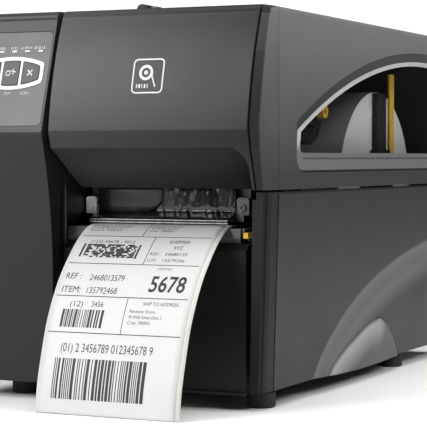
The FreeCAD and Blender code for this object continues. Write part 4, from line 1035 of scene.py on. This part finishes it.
arch_line = [tuple(p) for p in smooth_path(ARCH, per=6)[0]]
front_line = [tuple(p) for p in smooth_path(SWELL_FRONT, per=4)[0]]
rear_line = [tuple(p) for p in smooth_path(SWELL_REAR, per=4)[0]]


def ease(t):
    """Steep at first, level at the end."""
    t = max(0.0, min(1.0, t))
    return 1 - (1 - t) ** 2


def roll_off(inside):
    """How far, from 0 to 1, a point lies down the back of the arch's ridge."""
    return max(0.0, min(1.0, (inside - ARCH_BLEND * 0.6) / 26.0))


def plain_face(z):
    """Outer face of the leaf without its relief."""
    return LEAF_X[0] + (LEAF_X[1] - LEAF_X[0]) * (z - LEAF_Z[0]) / (LEAF_Z[1] - LEAF_Z[0])


def leaf_face(y, z):
    """Outer face of the leaf with the arch, the groove and the swelling."""
    x = plain_face(z)
    top = height_of(arch_line, y)
    if top is None or z > top:
        return x
    room = LEAF_LIMIT - x
    inside = gap_to(arch_line, y, z)
    fall = ARCH_FALL * min(1.0, room / ARCH_RISE)
    x += min(ARCH_RISE, room) * ease(inside / ARCH_BLEND)
    x -= fall * (3 - 2 * roll_off(inside)) * roll_off(inside) ** 2
    if z > SWELL_REACH[2] or y < SWELL_REACH[0] or y > SWELL_REACH[1]:
        return x
    front = gap_to(front_line, y, z)
    x -= GROOVE * math.exp(-(front / 1.8) ** 2)
    roof = height_of(front_line, y) or height_of(rear_line, y)
    if roof is not None and z < roof:
        rear = gap_to(rear_line, y, z)
        swell = SWELL_RISE * ease(front / 16.0) * ease(rear / 2.0)
        x += swell + SWELL_LIP * ease(rear / 2.0) * max(0.0, 1 - rear / 34.0) * ease(front / 10.0)
    return min(x, LEAF_LIMIT)


def painted_highlight(y, z):
    """Share of the paler tone that stands in for light caught by the arch and swelling."""
    top = height_of(arch_line, y)
    gap = gap_to(arch_line, y, z)
    if top is None or z > top:
        return PAINTED_HIGHLIGHT_RIDGE * max(0.0, 1 - gap / PAINTED_HIGHLIGHT_EDGE)
    ridge = max(0.0, 1 - gap / PAINTED_HIGHLIGHT_WIDTH)
    roof = height_of(front_line, y) or height_of(rear_line, y)
    if roof is None or z > roof or z > SWELL_FRONT[-1][1]:
        return PAINTED_HIGHLIGHT_RIDGE * ridge
    front = gap_to(front_line, y, z)
    rear = gap_to(rear_line, y, z)
    flank = min(1.0, front / 3.0) * max(0.15, 1.0 - front / 26.0)
    return max(flank, 0.3 - rear / 40.0)


def leaf_foot(y):
    """Lower edge of the leaf, a little lower under the swelling."""
    t = (y - SWELL_FRONT[0][0]) / (SWELL_REAR[-1][0] - SWELL_FRONT[0][0])
    return LEAF_Z[0] - (FOOT_DIP * math.sin(math.pi * t) ** 0.7 if 0 < t < 1 else 0.0)


def knuckle(bm, start):
    """A bored barrel on the fold axis with a tab that joins it to the leaf."""
    rings = []
    ends = (start, start + KNUCKLE_LONG)
    turns = [2 * math.pi * k / KNUCKLE_SIDES for k in range(KNUCKLE_SIDES)]
    for y in ends:
        for r in KNUCKLE_RADII:
            rings.append([bm.verts.new(at(FOLD_AXIS[0] + r * math.cos(a), y,
                                          FOLD_AXIS[1] + r * math.sin(a))) for a in turns])
    for one, two in ((0, 2), (3, 1), (1, 0), (2, 3)):
        for k in range(KNUCKLE_SIDES):
            j = (k + 1) % KNUCKLE_SIDES
            bm.faces.new((rings[one][k], rings[one][j], rings[two][j], rings[two][k]))
    tab = [bm.verts.new(at(x, y, z)) for x in (FOLD_AXIS[0], 118.6) for y in ends
           for z in (140.4, 141.5)]
    for face in ((0, 1, 3, 2), (4, 6, 7, 5), (0, 4, 5, 1), (2, 3, 7, 6), (0, 2, 6, 4),
                 (1, 5, 7, 3)):
        bm.faces.new([tab[k] for k in face])


def lower_leaf():
    """The outer grid, a flat inner face and the rim between them."""
    bm = bmesh.new()
    pale = bm.verts.layers.float.new("painted_highlight")
    wide, tall = LEAF_GRID
    grid = []
    for i in range(tall + 1):
        row = []
        for k in range(wide + 1):
            y = LEAF_Y[0] + (LEAF_Y[1] - LEAF_Y[0]) * k / wide
            z = leaf_foot(y) + (LEAF_Z[1] - leaf_foot(y)) * (i / tall) ** 1.15
            row.append(bm.verts.new(at(leaf_face(y, z), y, z)))
            row[-1][pale] = painted_highlight(y, z)
        grid.append(row)
    for i in range(tall):
        for k in range(wide):
            face = bm.faces.new((grid[i][k], grid[i][k + 1], grid[i + 1][k + 1], grid[i + 1][k]))
            face.smooth = True
    rim = grid[0] + [row[-1] for row in grid[1:]]
    rim += grid[-1][-2::-1] + [row[0] for row in grid[-2:0:-1]]
    inner = []
    for v in rim:
        z = v.co.z * 1000 - FEET
        inner.append(bm.verts.new((plain_face(z) / 1000 - LEAF_T / 1000, v.co.y, v.co.z)))
    for k in range(len(rim)):
        j = (k + 1) % len(rim)
        bm.faces.new((rim[k], inner[k], inner[j], rim[j]))
    bm.faces.new(inner)
    for start in KNUCKLE_STARTS:
        knuckle(bm, start)
    bmesh.ops.recalc_face_normals(bm, faces=bm.faces)
    return as_mesh(bm, "leaf")


def paint_highlight_by_mesh(mat, pale):
    """Blend the finish to a paler tone, a painted highlight, by the mesh's own per-point value."""
    tree = mat.node_tree
    base = tree.nodes["Principled BSDF"].inputs["Base Color"]
    plain = base.links[0].from_socket
    value = tree.nodes.new("ShaderNodeAttribute")
    value.attribute_name = "painted_highlight"
    mix = add(tree, "ShaderNodeMix", data_type="RGBA")
    mix.inputs[7].default_value = (*pale, 1)
    tree.links.new(value.outputs["Fac"], mix.inputs[0])
    tree.links.new(plain, mix.inputs[6])
    tree.links.new(mix.outputs[2], base)


# The leaf's charcoal is painted far darker than the upper side, as shade, and blended paler where
# the arch and swelling would catch light, as a painted highlight.
leaf_charcoal_painted_shade_and_highlight = surface("leaf_charcoal_painted_shade_and_highlight", (0.020, 0.0204, 0.0215), 0.40, grain=1900,
                         height=0.00009, specular=0.25)
paint_highlight_by_mesh(leaf_charcoal_painted_shade_and_highlight, (0.42, 0.424, 0.43))
leaf = keep("door_leaf_lower", lower_leaf(), leaf_charcoal_painted_shade_and_highlight, "lower_door")
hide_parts("door_side_lower")

# ---- Window ---------------------------------------------------------------------------------
# A satin grey trim frames the arched window. The pane is thin smoked polycarbonate, glued
# to the trim's inner ledge.
# The trim is painted darker on its lower part, round the sill: painted shade.
trim_grey = surface("trim_grey", (0.50, 0.505, 0.51), 0.30, grain=1700, height=0.00004,
                    edge=0.0004, painted_shade=(((2, 0.178, 0.186, 0.30),),))


def smoked_pane():
    mat, tree, shader = start_finish("smoked_pane", (0.004, 0.004, 0.0045), 0.04, specular=0.3)
    shader.inputs["Alpha"].default_value = 0.12
    where = place_on(tree)
    dust = node(tree, "ShaderNodeTexNoise", Scale=12.0, Detail=5.0)
    tree.links.new(where, dust.inputs["Vector"])
    tree.links.new(spread(tree, dust.outputs["Fac"], 0.04, 0.10), shader.inputs["Roughness"])
    tree.links.new(two_tones(tree, dust.outputs["Fac"], (0.003, 0.003, 0.0035),
                             (0.008, 0.008, 0.0085)), shader.inputs["Base Color"])
    return mat


dress(trim_grey, "window_trim")
dress(smoked_pane(), "window_pane")

# ---- Room -----------------------------------------------------------------------------------
# A pale floor under soft boxes: one large to the front left, one overhead, one to the right.
def studio_floor():
    bm = bmesh.new()
    for x, y in ((-9, -9), (9, -9), (9, 9), (-9, 9)):
        bm.verts.new((x, y, 0))
    bm.faces.new(bm.verts)
    bm.normal_update()
    mesh = as_mesh(bm, "floor")
    mat, tree, shader = start_finish("floor_white", (0.93, 0.93, 0.93), 0.7, specular=0.2)
    cloud = node(tree, "ShaderNodeTexNoise", Scale=2.0)
    tree.links.new(place_on(tree), cloud.inputs["Vector"])
    tree.links.new(two_tones(tree, cloud.outputs["Fac"], (0.925, 0.925, 0.925),
                             (0.935, 0.935, 0.935)), shader.inputs["Base Color"])
    mesh.materials.append(mat)
    show("floor", mesh)


def soft_box(name, spot, look, size, watts):
    lamp = bpy.data.lights.new(name, "AREA")
    lamp.shape = "RECTANGLE"
    lamp.size, lamp.size_y = size
    lamp.energy = watts
    holder = show(name, lamp)
    holder.location = spot
    holder.rotation_euler = (Vector(look) - Vector(spot)).to_track_quat("-Z", "Y").to_euler()


def studio_world(bright, dim, towards):
    """White towards one side, where the camera looks, and dim all round it."""
    made = bpy.data.worlds.new("studio")
    made.use_nodes = True
    tree = made.node_tree
    where = tree.nodes.new("ShaderNodeTexCoord")
    facing = add(tree, "ShaderNodeVectorMath", operation="DOT_PRODUCT")
    facing.inputs[1].default_value = towards
    tree.links.new(where.outputs["Generated"], facing.inputs[0])
    sky = tree.nodes["Background"]
    sky.inputs["Color"].default_value = (1, 1, 1, 1)
    tree.links.new(spread(tree, facing.outputs["Value"], dim, bright, 0.93, 0.985),
                   sky.inputs["Strength"])
    return made


studio_floor()
soft_box("key_left", (-1.5, -2.2, 1.5), (0, -0.1, 0.15), (1.2, 1.2), 62)
soft_box("top", (0.2, -0.1, 2.5), (0, 0, 0), (1.8, 1.8), 56)
soft_box("right", (2.0, 0.1, 1.7), (0.1, 0, 0.2), (1.0, 1.0), 30)
bpy.context.scene.world = studio_world(1.15, 0.04, (-0.42, 0.907, 0.0))
bpy.context.scene.view_settings.view_transform = "Standard"

camera = bpy.data.cameras.new("camera")
camera.lens = 149.94
camera.sensor_width = 36.0
camera_holder = show("camera", camera)
camera_holder.location = (0.6002, -1.2912, 0.1746)
camera_holder.rotation_euler = (math.radians(90 - 1.86), 0, math.radians(24.9))
bpy.context.scene.camera = camera_holder
